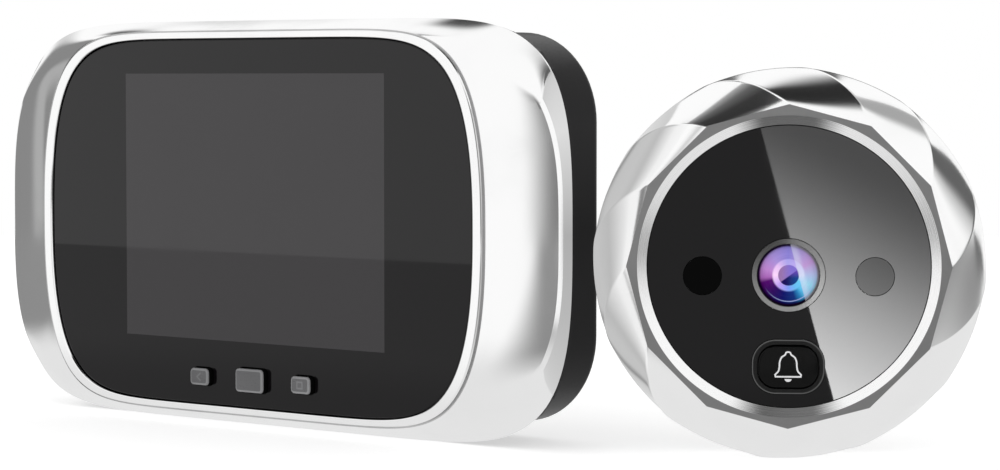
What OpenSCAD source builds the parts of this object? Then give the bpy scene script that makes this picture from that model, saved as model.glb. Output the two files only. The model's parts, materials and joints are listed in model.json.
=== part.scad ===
// Digital door viewer: an indoor monitor on a wall bracket, and a round outdoor camera with a bell button.
// Each unit is drawn lying on its back, x to the right, y up the door and z out of it, then stood upright.

/* [Screen and window] */
// Width of the lit screen
screen_w = 57.6; // [52:0.2:60]
// Height of the lit screen
screen_h = 43.2; // [38:0.2:44]
// Height of the screen's centre above the window's centre
screen_up = 2.5; // [2:0.1:3]
// Border of the display module at the lit screen's sides
screen_border_side = 6; // [5:0.1:6.5]
// Border of the display module above and below the lit screen
screen_border_end = 2; // [1.5:0.1:2.4]
// Thickness of the display glass
lcd_glass_t = 1.1; // [0.8:0.1:1.4]
// Thickness of the backlight behind the display glass
backlight_t = 1.6; // [1.2:0.1:2]
// Width of the black window
window_w = 93.4; // [90:0.2:97]
// Height of the black window
window_h = 59.2; // [58:0.2:61]
// Thickness of the black window
window_t = 1.5; // [1.2:0.1:1.8]
// Thickness of the tape that holds the window
tape_t = 0.2; // [0.1:0.05:0.3]

/* [Chrome bezel] */
// Overall width of the bezel
bezel_w = 122.5; // [118:0.1:126]
// Overall height of the bezel
bezel_h = 65.7; // [64.8:0.1:68]
// Drop of the bezel's centre below the window's centre
bezel_drop = 0.15; // [0:0.05:0.6]
// Width of the bright lip at the window's sides
lip_side = 2; // [1.5:0.1:2.5]
// Width of the bright lip at the window's top and bottom
lip_top = 1.1; // [0.8:0.1:1.3]
// Rise of the lip in front of the window
lip_rise = 0.4; // [0.2:0.1:0.8]
// Depth of the wings' crease behind the window's face
crease_depth = 3.7; // [3.2:0.1:4.2]
// Depth of the bezel's widest line behind the window's face
rim_depth = 5.5; // [5:0.1:6]
// Depth of the bezel's back edge behind the window's face
bezel_depth = 6.3; // [6.1:0.1:6.8]
// Width of the bezel's back edge
bezel_wall = 1.7; // [1.4:0.1:1.9]

/* [Rear housing] */
// Depth of the monitor from the door's face to the window's face
monitor_depth = 22.5; // [22.5:0.1:26]
// Width of the rear housing
housing_w = 108; // [106:0.5:110]
// Height of the rear housing
housing_h = 61; // [60.6:0.1:61.4]
// Corner radius of the rear housing
housing_r = 14; // [12:0.5:15]
// Radius of the rear housing's back edge
housing_edge_r = 1.5; // [0.8:0.1:2]
// Wall of the rear housing
housing_wall = 1.6; // [1.3:0.1:1.8]
// Gap between the rear housing and the door
back_gap = 0.5; // [0.3:0.1:1]
// Thickness of the flange that closes the bezel's back
flange_t = 1.2; // [1:0.1:1.6]
// Sideways place of the housing screws
screw_x = 38.5; // [38:0.1:39]
// Height of the housing screws above and below the centre
screw_y = 26.2; // [26:0.1:26.3]
// Radius of the housing screws' shank
screw_r = 1; // [0.8:0.05:1.1]
// Radius of the speaker
speaker_r = 13; // [11:0.5:14]
// Height of the speaker's body
speaker_h = 4.7; // [3.5:0.1:6]
// Rings of holes in the speaker's grille
grille_rings = 3; // [2:1:3]

/* [Keys] */
// Width of the two small keys
key_w = 4.1; // [3.6:0.1:4.8]
// Height of the two small keys
key_h = 2.75; // [2.4:0.05:3.2]
// Width of the power key
power_key_w = 6.1; // [5.4:0.1:7]
// Height of the power key
power_key_h = 3.8; // [3.2:0.1:4.4]
// Distance from one key to the next
key_pitch = 11.3; // [9.5:0.1:12]
// Sideways shift of the row of keys
key_shift = 0.5; // [0:0.1:1]
// Height of the keys' centres above the window's lower edge
key_up = 4.45; // [4:0.05:5]
// Rise of the keys in front of the window
key_rise = 1.2; // [0.9:0.1:1.8]
// Travel of the keys
key_travel = 0.6; // [0.3:0.1:0.8]

/* [Batteries] */
// Diameter of a battery cell
cell_d = 10.5; // [10:0.1:10.5]
// Length of a battery cell
cell_l = 44.5; // [43:0.1:44.5]
// Gap between two cells
cell_gap = 0.3; // [0.2:0.1:0.5]
// Room for the contacts at each end of the cells
contact_room = 1; // [0.8:0.1:1.2]
// Wall between the battery bay and the bracket's bay
bay_web = 1.85; // [1.6:0.05:2]
// Thickness of the battery door's outer plate
door_t = 1.1; // [0.9:0.1:1.3]
// Width of the lips that hold the battery door on its rails
door_lip = 0.8; // [0.6:0.1:0.9]
// Thickness of the battery door's lips
door_lip_t = 1; // [0.8:0.1:1.2]

/* [Wall bracket] */
// Width of the bracket over its wings
bracket_w = 32; // [30:0.5:32]
// Height of the bracket
bracket_h = 44; // [40:0.5:46]
// Thickness of the bracket's steel
bracket_t = 1.2; // [1:0.1:1.4]
// Width of each wing
wing_w = 4; // [3.5:0.1:4.5]
// Height of each wing
wing_h = 10; // [8:0.5:11]
// Distance that the wings stand in front of the plate's back
wing_rise = 2.1; // [2:0.1:2.4]
// Distance between the two mounting screws
mount_pitch = 12.6; // [12:0.1:13]
// Radius of the bracket's screw holes
mount_hole_r = 1.7; // [1.6:0.05:1.8]
// Width of the cable window
cable_w = 6.8; // [6.4:0.1:7]
// Height of the cable window
cable_h = 14; // [12:0.5:16]

/* [Outdoor camera] */
// Overall diameter of the camera
camera_d = 58; // [56:0.5:62]
// Height of the camera from the door's face to its front ring
camera_h = 18; // [17.5:0.1:20]
// Diameter of the black face
face_d = 41; // [40:0.2:42]
// Thickness of the black face
face_t = 1.5; // [1.2:0.1:1.8]
// Drop of the face behind the front ring
face_drop = 0.7; // [0.4:0.1:1]
// Width of the bright bevel round the face
bevel_w = 1.35; // [1:0.05:1.5]
// Number of twisted facets
facets = 12; // [10:1:16]
// Width of the flat front ring where it is narrowest
front_flat = 0.8; // [0.4:0.05:1.2]
// Turn of the facets from the front ring to the widest line, in degrees
facet_twist = 26; // [10:1:34]
// Depth of the widest line behind the front ring
dome_depth = 9; // [7:0.5:11]
// Radius by which the back edge is drawn in
back_draw = 1; // [0.5:0.1:1.4]
// Turn of the camera towards the viewer, in degrees
camera_turn = 34.6; // [0:0.1:45]
// Gap between the two units
pair_gap = 3.25; // [3:0.05:20]
// Distance of the camera's seat behind the monitor's
camera_behind = 8.1; // [0:0.1:20]

/* [Camera face] */
// Drop of the lens below the face's centre
lens_drop = 1.25; // [0.8:0.05:1.8]
// Diameter of the front lens
lens_d = 9; // [8.4:0.1:9.6]
// Width of the ring round the lens
lens_ring_w = 0.75; // [0.5:0.05:0.9]
// Distance of the round windows from the centre
sensor_x = 12.5; // [12:0.1:13.5]
// Drop of the round windows below the centre
sensor_drop = 1.4; // [1:0.1:2.5]
// Diameter of the round windows
sensor_d = 5.5; // [5:0.1:6]
// Drop of the bell button below the face's centre
bell_drop = 14.6; // [14.2:0.1:15]
// Width of the bell button
bell_w = 8.8; // [8.2:0.1:9.2]
// Height of the bell button
bell_h = 6.2; // [5.8:0.1:6.6]
// Wall of the surround round the bell button
surround_w = 0.85; // [0.75:0.05:0.9]
// Travel of the bell button
bell_travel = 0.8; // [0.4:0.1:1]

/* [Camera fixing] */
// Thickness of the foam ring against the door
gasket_t = 1.5; // [1:0.1:2]
// Inner radius of the foam ring
gasket_inner_r = 12; // [11:0.5:13]
// Outer radius of the foam ring
gasket_outer_r = 18.2; // [16:0.1:18.4]
// Radius of the boss that enters the door's hole
boss_r = 9; // [9:0.1:10]
// Length of the boss behind the door's face
boss_l = 9; // [8:0.5:14]
// Outer radius of the brass inserts
insert_r = 2.1; // [2:0.05:2.15]
// Bore radius of the brass inserts
insert_bore_r = 1.25; // [1.2:0.05:1.3]
// Length of the brass inserts
insert_l = 6.5; // [5:0.5:7]
// Thickness of the back cover
cover_t = 2.2; // [2:0.1:2.5]

/* [Hidden] */
$fn = 64;

// Clearances: round fixed pieces, round pieces pressed into a seat, round sliding pieces, and before a stop
fit = 0.15;
close_fit = 0.05;
slide = 0.2;
stop_gap = 0.1;
// Overrun of a cut past the face it opens, and depth by which two shapes of one piece grow together
cut = 1;
sink = 0.5;

// Exponents of the bulging outlines: p along the width, rounder at the crease, and q along the height
bulge_p = 7.7;
crease_p = 4.4;
window_q = 2.5;
rim_q = 3.2;
// Steps along a quarter of an outline, up its side and along its top, and the angle where they meet
side_steps = 8;
top_steps = 10;
corner_angle = 50;
quarter_steps = side_steps + top_steps;

// Heights of the monitor's layers above the door's face
window_back = monitor_depth - window_t;
case_front = window_back - tape_t;
lcd_back = case_front - lcd_glass_t;
tray_floor = lcd_back - backlight_t;
bezel_back = monitor_depth - bezel_depth;
flange_back = bezel_back - flange_t;
case_back = bezel_back;
ledge_step = 0.3;
ledge_z = case_front - ledge_step;
plate_t = 1.4;
board_t = 1.2;
board_back = case_back - board_t;

// Outlines of the bezel's lip, crease, rim and inside
lip_w = window_w + 2 * (fit + lip_side);
lip_h = window_h + 2 * (fit + lip_top);
crease_inset = 0.15;
crease_w = bezel_w - 2 * crease_inset;
crease_h = (lip_h + bezel_h) / 2;
rim_draw = 0.3;
flange_inset = 0.6;
inside_w = bezel_w - 2 * (rim_draw + bezel_wall);
inside_h = bezel_h - 2 * (rim_draw / 2 + bezel_wall);
inside_z = case_back + plate_t / 2;
shell_w = lip_w + 2 * lip_side;
shell_h = lip_h - lip_top;
lip_edge = 0.3;
wing_bow = 1.6;
wing_fall = 2;
wing_levels = 5;

// Display module
lcd_w = screen_w + 2 * screen_border_side;
lcd_h = screen_h + 2 * screen_border_end;

// Keys: the flange that keeps each one behind the window, and the room for the row
key_y = key_up - window_h / 2;
key_flange = 0.6;
key_flange_t = 0.9;
key_r = 0.7;
key_room_gap = 0.3;
key_back_z = window_back - stop_gap - key_flange_t;
switch_top = key_back_z - key_travel - stop_gap;
key_row_w = 2 * (key_pitch + key_w / 2 + key_flange + key_room_gap);
key_row_h = power_key_h + 2 * (key_flange + key_room_gap);

// Battery bay, and the rails of its door
housing_back = back_gap;
skin = housing_back + housing_wall;
cells = 3;
cell_pitch = cell_d + cell_gap;
bay_w = (cells - 1) * cell_pitch + cell_d + 2 * slide;
bay_h = cell_l + 2 * contact_room;
rail_front = housing_back + door_t + door_lip_t + slide;
cell_z = rail_front + slide + cell_d / 2;
battery_wall = 1.2;
block_front = cell_z + cell_d / 2 + slide + battery_wall;
door_overlap = 0.6;
door_bottom = -bay_h / 2 - door_overlap;

// Bracket's bay in the rear housing, and the lugs that hook behind the bracket's wings
bay_side_gap = 0.5;
bay_front_gap = 0.6;
bay_wall = 1;
bracket_bay_w = bracket_w + 2 * bay_side_gap;
bracket_bay_top = bracket_h / 2 + stop_gap;
bracket_bay_floor = wing_rise + bracket_t + bay_front_gap;
lug_gap = 0.3;
lug_front = wing_rise - lug_gap;
lug_short = 1;
wing_inner = bracket_w / 2 - wing_w;
wing_inset = 2;
wing_y = bracket_h / 2 - wing_inset - wing_h / 2;
battery_x = bracket_bay_w / 2 + bay_web + bay_w / 2;

// Housing screws and their posts
head_r = 1.9;
head_h = 1.6;
head_seat = 5;
post_r = 3.2;
tip_cover = 1.5;
screw_tip = ledge_z - tip_cover;

// Circuit board beside the battery bay, with a tongue under the keys
board_gap = 0.4;
board_reach = 4;
board_left = -battery_x + bay_w / 2 + battery_wall + board_gap;
board_right = screw_x + board_reach;
board_h = 2 * (screw_y - post_r - board_gap);
tongue_drop = 2.5;
tongue_bottom = key_y - tongue_drop;

// Height of the housing's tub: the set one, or more where the board's tongue needs the room
tub_h = max(housing_h, 2 * (board_gap + housing_wall - tongue_bottom));

// Chips and coils on the board's back: [x, y, width, height, thickness]
chip_x = 26;
coil_x = 37;
processor = [chip_x, 12, 12, 12, 1.3];
memory = [chip_x, -4, 9, 6, 1.1];
regulator = [chip_x, -16, 7, 5, 1.2];
coil = [coil_x, -14, 6, 6, 2.6];
driver = [coil_x, 15, 5, 4, 1];

// Inlet for the camera's ribbon
socket_w = 9;
socket_h = 5;
socket_gap = 1;
socket_back = bracket_bay_floor + housing_wall + socket_gap;

// Speaker's place, its seat and its grille
speaker_x = 36;
speaker_y = 2;
speaker_seat_w = 1.2;
speaker_seat_h = 2;
grille_pitch = 2.9;
grille_r = 0.8;

// Heights and radii of the camera's layers
camera_r = camera_d / 2;
face_r = face_d / 2;
face_front = camera_h - face_drop;
face_back = face_front - face_t;
bevel_r = face_r + fit + bevel_w;
front_ring_r = (bevel_r + front_flat) / cos(180 / facets);
widest_z = camera_h - dome_depth;
bezel_lift = 1;
ring_steps = 4;
twist_levels = 6;
back_turn = 360 / facets;

// Drum inside the camera's bezel
case_margin = 0.95;
case_r = front_ring_r + case_margin;
case_wall = 1.6;
front_wall_t = 1.2;
front_wall_back = face_back - front_wall_t;
cover_front = gasket_t + cover_t;
sensor_board_back = 7.4;
sensor_board_front = sensor_board_back + board_t;
case_post_r = 2;
case_post_inset = 0.35;
case_screw_x = case_r - case_wall - case_post_r - case_post_inset;
case_head_r = 1.7;
case_head_h = 1.1;
case_shank_r = 0.8;
case_shank_l = 9;

// Bell button, the frame round it and the switch under it
bell_r = 2.6;
bell_rise = 0.5;
bell_flange = 0.42;
bell_flange_t = 1.2;
bell_seat = face_back + stop_gap;
bell_back = bell_seat - bell_flange_t;
bell_switch_top = bell_back - bell_travel - stop_gap;
surround_flange = 0.8;
surround_back = front_wall_back - surround_flange;
surround_rise = 0.25;
surround_outer_w = bell_w + 2 * surround_w;
surround_outer_h = bell_h + 2 * surround_w;
surround_r = bell_r + surround_w;

// Lens stack
lens_ring_r = lens_d / 2 + close_fit + lens_ring_w;
lens_crown = 1;
lens_rise = 0.3;
lens_seat_depth = 1.2;
lens_seat = face_back - lens_seat_depth;
barrel_wall = 0.45;
barrel_r = lens_d / 2 + close_fit + barrel_wall;
barrel_gap = 1.6;
barrel_back = sensor_board_front + barrel_gap;
inner_lens_r = 3.25;
inner_lens_t = 0.9;
inner_lens_crown = 0.3;
lamp_r = 1.5;

// Cable's way out through the boss, between the two inserts
insert_web = 0.7;
cable_slot_w = mount_pitch - 2 * (insert_r + insert_web);
cable_slot_h = 9;

// Places of the two units
monitor_bottom = -bezel_h / 2 - bezel_drop;
camera_x = bezel_w / 2 + pair_gap + camera_r * cos(camera_turn) - widest_z * sin(camera_turn);
camera_z = monitor_bottom + camera_r;

// Stands a unit that was drawn on its back upright against the door
module upright() { rotate([90, 0, 0]) children(); }

// Puts the camera beside the monitor, turned towards the viewer
module beside() {
    translate([camera_x, camera_behind, camera_z]) rotate([0, 0, camera_turn]) upright() children();
}

// Four copies, mirrored left and right, up and down
module four(x, y) { for (sx = [-1, 1], sy = [-1, 1]) translate([sx * x, sy * y, 0]) children(); }

// Rectangle with round corners, centred
module rounded_rect(w, h, r) {
    square([w - 2 * r, h], center = true);
    square([w, h - 2 * r], center = true);
    four(w / 2 - r, h / 2 - r) circle(r);
}

// Upright prism of a rounded rectangle between two heights
module slab(w, h, r, z0, z1) { translate([0, 0, z0]) linear_extrude(z1 - z0) rounded_rect(w, h, r); }

// Box centred on x and y between two heights
module block(w, h, z0, z1) { translate([-w / 2, -h / 2, z0]) cube([w, h, z1 - z0]); }

// Box between two corners
module box(low, high) { translate(low) cube(high - low); }

// Round bar between two heights
module rod(r, z0, z1) { translate([0, 0, z0]) cylinder(r = r, h = z1 - z0); }

// Bulging outline with soft corners: a superellipse with its own power along each axis
function signed_pow(x, e) = sign(x) * pow(abs(x), e);
function corner_up() = pow(sin(corner_angle), 2 / window_q);
function corner_out() = pow(cos(corner_angle), 2 / bulge_p);
function side_angle(j) = asin(pow(corner_up() * j / side_steps, window_q / 2));
function top_angle(j) = acos(pow(corner_out() * (1 - (j - side_steps) / top_steps), bulge_p / 2));
function quarter_angle(j) = j < side_steps ? side_angle(j) : top_angle(j);
function step_angle(k) =
    let (turn = floor(k / quarter_steps), j = k % quarter_steps)
    turn % 2 == 0 ? 90 * turn + quarter_angle(j) : 90 * turn + 90 - quarter_angle(quarter_steps - j);
function outline(w, h, q, p = bulge_p) = [
    for (k = [0 : 4 * quarter_steps - 1])
        [w / 2 * signed_pow(cos(step_angle(k)), 2 / p), h / 2 * signed_pow(sin(step_angle(k)), 2 / q)]
];
module outline_slab(w, h, q, z0, z1) {
    translate([0, 0, z0]) linear_extrude(z1 - z0) polygon(outline(w, h, q));
}

// One ring of the bezel: an outline moved down by drop and up to height z
function bezel_ring(w, h, q, drop, z) = [for (p = outline(w, h, q)) [p[0], p[1] - drop, z]];

// Closed skin over rings that follow one another; the last joins the first, shift points further on
module ring_skin(rings, shift = 0) {
    n = len(rings[0]);
    m = len(rings);
    points = [for (ring = rings) each ring];
    faces = [
        for (i = [0 : m - 1], j = [0 : n - 1])
            let (next = (i + 1) % m * n, roll = i == m - 1 ? shift : 0, j1 = (j + 1) % n)
            let (a = i * n + j, b = i * n + j1, c = next + (j1 + roll) % n, d = next + (j + roll) % n)
            each [[a, b, c], [a, c, d]]
    ];
    polyhedron(points, faces, convexity = 6);
}

// Monitor

// Wings: rings from the lip's foot to the crease, which fall back mainly with the distance to the side
function wing_z(x, s) =
    let (side = max(0, 2 * abs(x) - lip_w) / (crease_w - lip_w))
    monitor_depth - wing_fall * s - (crease_depth - wing_fall) * pow(side, wing_bow);
function wing_ring(s) =
    let (w = lip_w + (crease_w - lip_w) * s, h = lip_h + (crease_h - lip_h) * s)
    let (p = bulge_p + (crease_p - bulge_p) * s, q = window_q + (rim_q - window_q) * s)
    [for (c = outline(w, h, q, p)) [c[0], c[1] - bezel_drop * s, wing_z(c[0], s)]];

// Chrome frame with a bright lip round the window and a creased wing at each side

module front_bezel() {
    hole_w = window_w + 2 * fit;
    hole_h = window_h + 2 * fit;
    color("silver") upright() ring_skin([
        bezel_ring(hole_w, hole_h, window_q, 0, ledge_z),
        bezel_ring(hole_w, hole_h, window_q, 0, monitor_depth),
        bezel_ring(lip_w - 2 * lip_edge, lip_h - 2 * lip_edge, window_q, 0, monitor_depth + lip_rise),
        for (i = [0 : wing_levels]) wing_ring(i / wing_levels),
        bezel_ring(bezel_w, bezel_h, rim_q, bezel_drop, monitor_depth - rim_depth),
        bezel_ring(bezel_w - 2 * rim_draw, bezel_h - rim_draw, rim_q, bezel_drop, bezel_back),
        bezel_ring(inside_w, inside_h, rim_q, bezel_drop, bezel_back),
        bezel_ring(inside_w, inside_h, rim_q, bezel_drop, inside_z),
        bezel_ring(shell_w, shell_h, window_q, 0, ledge_z)
    ]);
}

// Places something at one of the keys: the power key is the middle one
module at_key(i) { translate([key_shift + (i - 1) * key_pitch, key_y, 0]) children(); }
function key_width(i) = i == 1 ? power_key_w : key_w;
function key_height(i) = i == 1 ? power_key_h : key_h;
module key_outline(i, grow, r, z0, z1) {
    at_key(i) slab(key_width(i) + 2 * grow, key_height(i) + 2 * grow, r, z0, z1);
}

// Black glossy window with an opening for each key
module front_window() {
    color([0.1, 0.1, 0.11]) upright() difference() {
        outline_slab(window_w, window_h, window_q, window_back, monitor_depth);
        for (i = [0 : 2]) key_outline(i, slide, key_r + slide, window_back - cut, monitor_depth + cut);
    }
}

// Opening behind the window in which the keys and their switches sit
module key_room(z0, z1) {
    room_r = 1;
    translate([key_shift, key_y, 0]) slab(key_row_w, key_row_h, room_r, z0, z1);
}

// Pocket for the display module
module display_room(z0, z1) {
    translate([0, screen_up, 0]) block(lcd_w + 2 * fit, lcd_h + 2 * fit, z0, z1);
}

// Adhesive frame between the window and the inner frame
module window_tape() {
    inset = 0.6;
    color([0.2, 0.2, 0.2]) upright() difference() {
        outline_slab(window_w - 2 * inset, window_h - 2 * inset, window_q, case_front, window_back);
        display_room(case_front - cut, window_back + cut);
        key_room(case_front - cut, window_back + cut);
    }
}

// Display glass
module lcd_panel() {
    color([0.2, 0.2, 0.22]) upright() translate([0, screen_up, 0])
        block(lcd_w, lcd_h, lcd_back, case_front);
}

// Backlight behind the display glass, with the recess that takes the light guide
module lcd_backlight() {
    guide_depth = 0.5;
    color("white") upright() translate([0, screen_up, 0]) difference() {
        block(lcd_w, lcd_h, tray_floor, lcd_back);
        block(screen_w, screen_h, tray_floor - cut, tray_floor + guide_depth);
    }
}

// Inner frame: carries the display in a tray, the window on its front and the bezel on its shoulder
module front_case() {
    front_inset = 0.5;
    shoulder = 2;
    shoulder_h = min(window_h + lip_top, inside_h - 2 * (bezel_drop + fit));
    plate_inset = 2.5;
    tray_ledge = 11;
    tip_room = 0.4;
    color([0.14, 0.14, 0.15]) upright() difference() {
        union() {
            outline_slab(window_w - 2 * front_inset, window_h - 2 * front_inset, window_q,
                ledge_z - sink, case_front);
            outline_slab(window_w + 2 * shoulder, shoulder_h, window_q, case_back, ledge_z);
            translate([0, -bezel_drop, 0])
                outline_slab(inside_w - 2 * plate_inset, inside_h - lip_top, rim_q,
                    case_back, case_back + plate_t);
        }
        display_room(tray_floor, case_front + cut);
        translate([0, screen_up, 0])
            block(screen_w - 2 * tray_ledge, screen_h - 2 * tray_ledge, case_back - cut, tray_floor + cut);
        key_room(case_back - cut, case_front + cut);
        four(screw_x, screw_y) rod(screw_r + close_fit, case_back - cut, screw_tip + tip_room);
    }
}

// One key: a proud cap with a softened top edge, and a flange that keeps it behind the window
module key(i) {
    edge = 0.25;
    top = monitor_depth + key_rise;
    color([0.35, 0.35, 0.36]) upright() {
        key_outline(i, key_flange, key_r, key_back_z, key_back_z + key_flange_t);
        key_outline(i, 0, key_r, key_back_z, top - edge);
        key_outline(i, -edge, key_r - edge, key_back_z, top);
    }
}
module key_back() { key(0); }
module key_power() { key(1); }
module key_menu() { key(2); }

// Three push switches on the board, each with a round plunger just under its key
module key_switches() {
    switch_w = 4.5;
    switch_body_h = 2;
    plunger_r = 1.1;
    color([0.25, 0.25, 0.26]) upright() for (i = [0 : 2]) at_key(i) {
        block(switch_w, switch_w, case_back, case_back + switch_body_h);
        rod(plunger_r, case_back, switch_top);
    }
}

// Circuit board, with its tongue under the keys
module main_board() {
    color("darkgreen") upright() {
        box([board_left, -board_h / 2, board_back], [board_right, board_h / 2, case_back]);
        box([key_shift - key_row_w / 2, tongue_bottom, board_back],
            [key_shift + key_row_w / 2, sink - board_h / 2, case_back]);
    }
}

// Chips and coils on the back of the board
module board_chips() {
    color([0.08, 0.08, 0.08]) upright() for (c = [processor, memory, regulator, coil, driver])
        translate([c[0], c[1], 0]) block(c[2], c[3], board_back - c[4], board_back);
}

// Inlet for the camera's ribbon, reached through the bracket's cable window
module camera_socket() {
    lip = 0.8;
    mouth = 4;
    color("ivory") upright() difference() {
        block(socket_w, socket_h, socket_back, board_back);
        block(socket_w - 2 * lip, socket_h - 2 * lip, socket_back - cut, socket_back + mouth);
    }
}

// Loudspeaker on the inside of the back wall: a rim, a sloping cone and a magnet
module speaker() {
    cap_r = 3;
    cap_back = 1;
    rim = 1.5;
    rim_t = 1.4;
    basket_t = 2.6;
    magnet_r = 0.62 * speaker_r;
    color([0.3, 0.3, 0.32]) upright() translate([speaker_x, speaker_y, skin]) rotate_extrude() polygon([
        [0, cap_back], [cap_r, cap_back], [speaker_r - rim, 0], [speaker_r, 0], [speaker_r, rim_t],
        [magnet_r, basket_t], [magnet_r, speaker_h], [0, speaker_h]
    ]);
}

// Tub with a rounded back edge: bars across both ways and a turned corner at each end
module tub_profile(w, e, depth) {
    translate([-w / 2, e]) square([w, depth - e]);
    translate([e - w / 2, 0]) square([w - 2 * e, depth]);
    for (s = [-1, 1]) translate([s * (w / 2 - e), e]) circle(e);
}
module tub(w, h, r, e, z0, z1) {
    translate([0, 0, z0]) {
        rotate([90, 0, 90]) linear_extrude(w - 2 * r, center = true) tub_profile(h, e, z1 - z0);
        rotate([90, 0, 0]) linear_extrude(h - 2 * r, center = true) tub_profile(w, e, z1 - z0);
        four(w / 2 - r, h / 2 - r) rotate_extrude() intersection() {
            tub_profile(2 * r, e, z1 - z0);
            square([r, z1 - z0]);
        }
    }
}

// Outside of the rear housing
module housing_form() { tub(housing_w, tub_h, housing_r, housing_edge_r, housing_back, flange_back); }

// Hollow tub with the flange that closes the bezel's back
module housing_shell() {
    difference() {
        union() {
            housing_form();
            translate([0, -bezel_drop, 0])
                outline_slab(bezel_w - 2 * flange_inset, bezel_h - flange_inset, rim_q,
                    flange_back, bezel_back);
        }
        slab(housing_w - 2 * housing_wall, tub_h - 2 * housing_wall, housing_r - housing_wall,
            skin, case_back + cut);
    }
}

// Block of plastic round the battery bay
module battery_block() {
    side = bay_w / 2 + battery_wall;
    intersection() {
        slab(housing_w - housing_wall, tub_h - housing_wall, housing_r - housing_wall / 2,
            skin - sink, block_front);
        box([-battery_x - side - housing_wall, -bay_h / 2 - battery_wall, 0],
            [-battery_x + side, tub_h / 2, block_front]);
    }
}

// Slot for the battery door: an opening over the cells with a groove for the door's lips at each side
module door_slot() {
    top = tub_h / 2 + cut;
    edge = bay_w / 2;
    translate([-battery_x, 0, 0]) {
        box([-edge, door_bottom, housing_back - cut], [edge, top, rail_front]);
        box([-edge - door_lip, door_bottom, housing_back + door_t],
            [edge + door_lip, top, rail_front - slide / 2]);
    }
}

// Walls and floor round the bracket's bay
module bracket_block() {
    side = bracket_bay_w / 2 + bay_wall;
    box([-side, -tub_h / 2 + housing_wall / 2, skin - sink],
        [side, bracket_bay_top + bay_wall, bracket_bay_floor + housing_wall]);
}

// Room for the bracket, open at the bottom so that the monitor can be lifted off, and the inlet's window
module bracket_room() {
    window_gap = 1;
    box([-bracket_bay_w / 2, -tub_h / 2 - cut, housing_back - cut],
        [bracket_bay_w / 2, bracket_bay_top, bracket_bay_floor]);
    block(socket_w + 2 * window_gap, socket_h + 4 * window_gap,
        bracket_bay_floor - cut, bracket_bay_floor + housing_wall + cut);
}

// Lug of the housing that hooks behind a wing of the bracket
module bracket_lug(sx, sy) {
    web_gap = 0.6;
    inner = wing_inner + web_gap;
    outer = bracket_bay_w / 2 + bay_wall;
    translate([sx * (inner + outer) / 2, sy * wing_y, 0])
        block(outer - inner, wing_h - 2 * lug_short, housing_back, lug_front);
}

// Ring that the speaker sits in
module speaker_seat() {
    translate([speaker_x, speaker_y, 0]) difference() {
        rod(speaker_r + fit + speaker_seat_w, skin - sink, skin + speaker_seat_h);
        rod(speaker_r + fit, skin - cut, skin + speaker_seat_h + cut);
    }
}

// Round holes in rings over the speaker
module speaker_grille() {
    translate([speaker_x, speaker_y, 0]) for (k = [0 : grille_rings])
        let (holes = max(1, 6 * k)) for (a = [0 : holes - 1])
            rotate(a * 360 / holes) translate([k * grille_pitch, 0, 0])
                rod(grille_r, housing_back - cut, skin + cut);
}

// Black tub behind the bezel, with the battery bay, the bracket's bay, the grille and the screw posts
module rear_housing() {
    color([0.12, 0.12, 0.13]) upright() {
        difference() {
            union() {
                housing_shell();
                battery_block();
                bracket_block();
                speaker_seat();
                four(screw_x, screw_y) rod(post_r, skin - sink, case_back);
            }
            translate([-battery_x, 0, 0]) block(bay_w, bay_h, housing_back - cut, block_front - battery_wall);
            door_slot();
            bracket_room();
            speaker_grille();
            four(screw_x, screw_y) {
                rod(head_r + slide, housing_back - cut, head_seat);
                rod(screw_r + stop_gap, housing_back, case_back + cut);
            }
        }
        for (sx = [-1, 1], sy = [-1, 1]) bracket_lug(sx, sy);
    }
}

// Places something at each battery cell
module at_cells() {
    for (i = [0 : cells - 1]) translate([-battery_x + (i - (cells - 1) / 2) * cell_pitch, 0, cell_z])
        rotate(i % 2 * 180) children();
}

// Cells side by side, every other one turned round
module battery_cells() {
    nub_r = 1.9;
    nub_h = 1;
    color("darkorange") upright() at_cells() rotate([-90, 0, 0]) translate([0, 0, -cell_l / 2]) {
        cylinder(d = cell_d, h = cell_l - nub_h);
        cylinder(r = nub_r, h = cell_l);
    }
}

// Bent leaf contacts at both ends of the bay, one pair for each cell
module battery_contacts() {
    leaf_w = 7;
    leaf_t = 0.3;
    pad = 1.2;
    bend = 2.6;
    reach = contact_room - close_fit;
    color("gold") upright() at_cells() for (turn = [0, 180])
        rotate(turn) translate([0, -bay_h / 2, -leaf_w / 2]) linear_extrude(leaf_w) polygon([
            [-leaf_w / 2, 0], [leaf_w / 2, 0], [leaf_w / 2, leaf_t], [pad, reach], [-pad, reach],
            [-pad, reach - leaf_t], [pad - leaf_t, reach - leaf_t], [bend, leaf_t], [-leaf_w / 2, leaf_t]
        ]);
}

// Battery door: a plate in the housing's back with a lip along each side, and grooves for the thumb
module battery_door() {
    groove_w = 14;
    groove_h = 0.8;
    groove_depth = 0.4;
    groove_pitch = 2;
    groove_up = 6;
    edge = bay_w / 2 - slide;
    front = housing_back + door_t + door_lip_t;
    bottom = door_bottom + slide / 2;
    color([0.12, 0.12, 0.13]) upright() difference() {
        intersection() {
            housing_form();
            translate([-battery_x, 0, 0]) {
                box([-edge, bottom, 0], [edge, tub_h, front]);
                box([-edge - door_lip, bottom, housing_back + door_t + slide / 2],
                    [edge + door_lip, tub_h, front]);
            }
        }
        for (k = [0 : 4]) translate([-battery_x, bottom + groove_up + k * groove_pitch, 0])
            block(groove_w, groove_h, housing_back - cut, housing_back + groove_depth);
    }
}

// Cross slot in a screw's head
module cross_slot(length, width, z0, z1) {
    for (a = [0, 90]) rotate(a) block(length, width, z0, z1);
}

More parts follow.
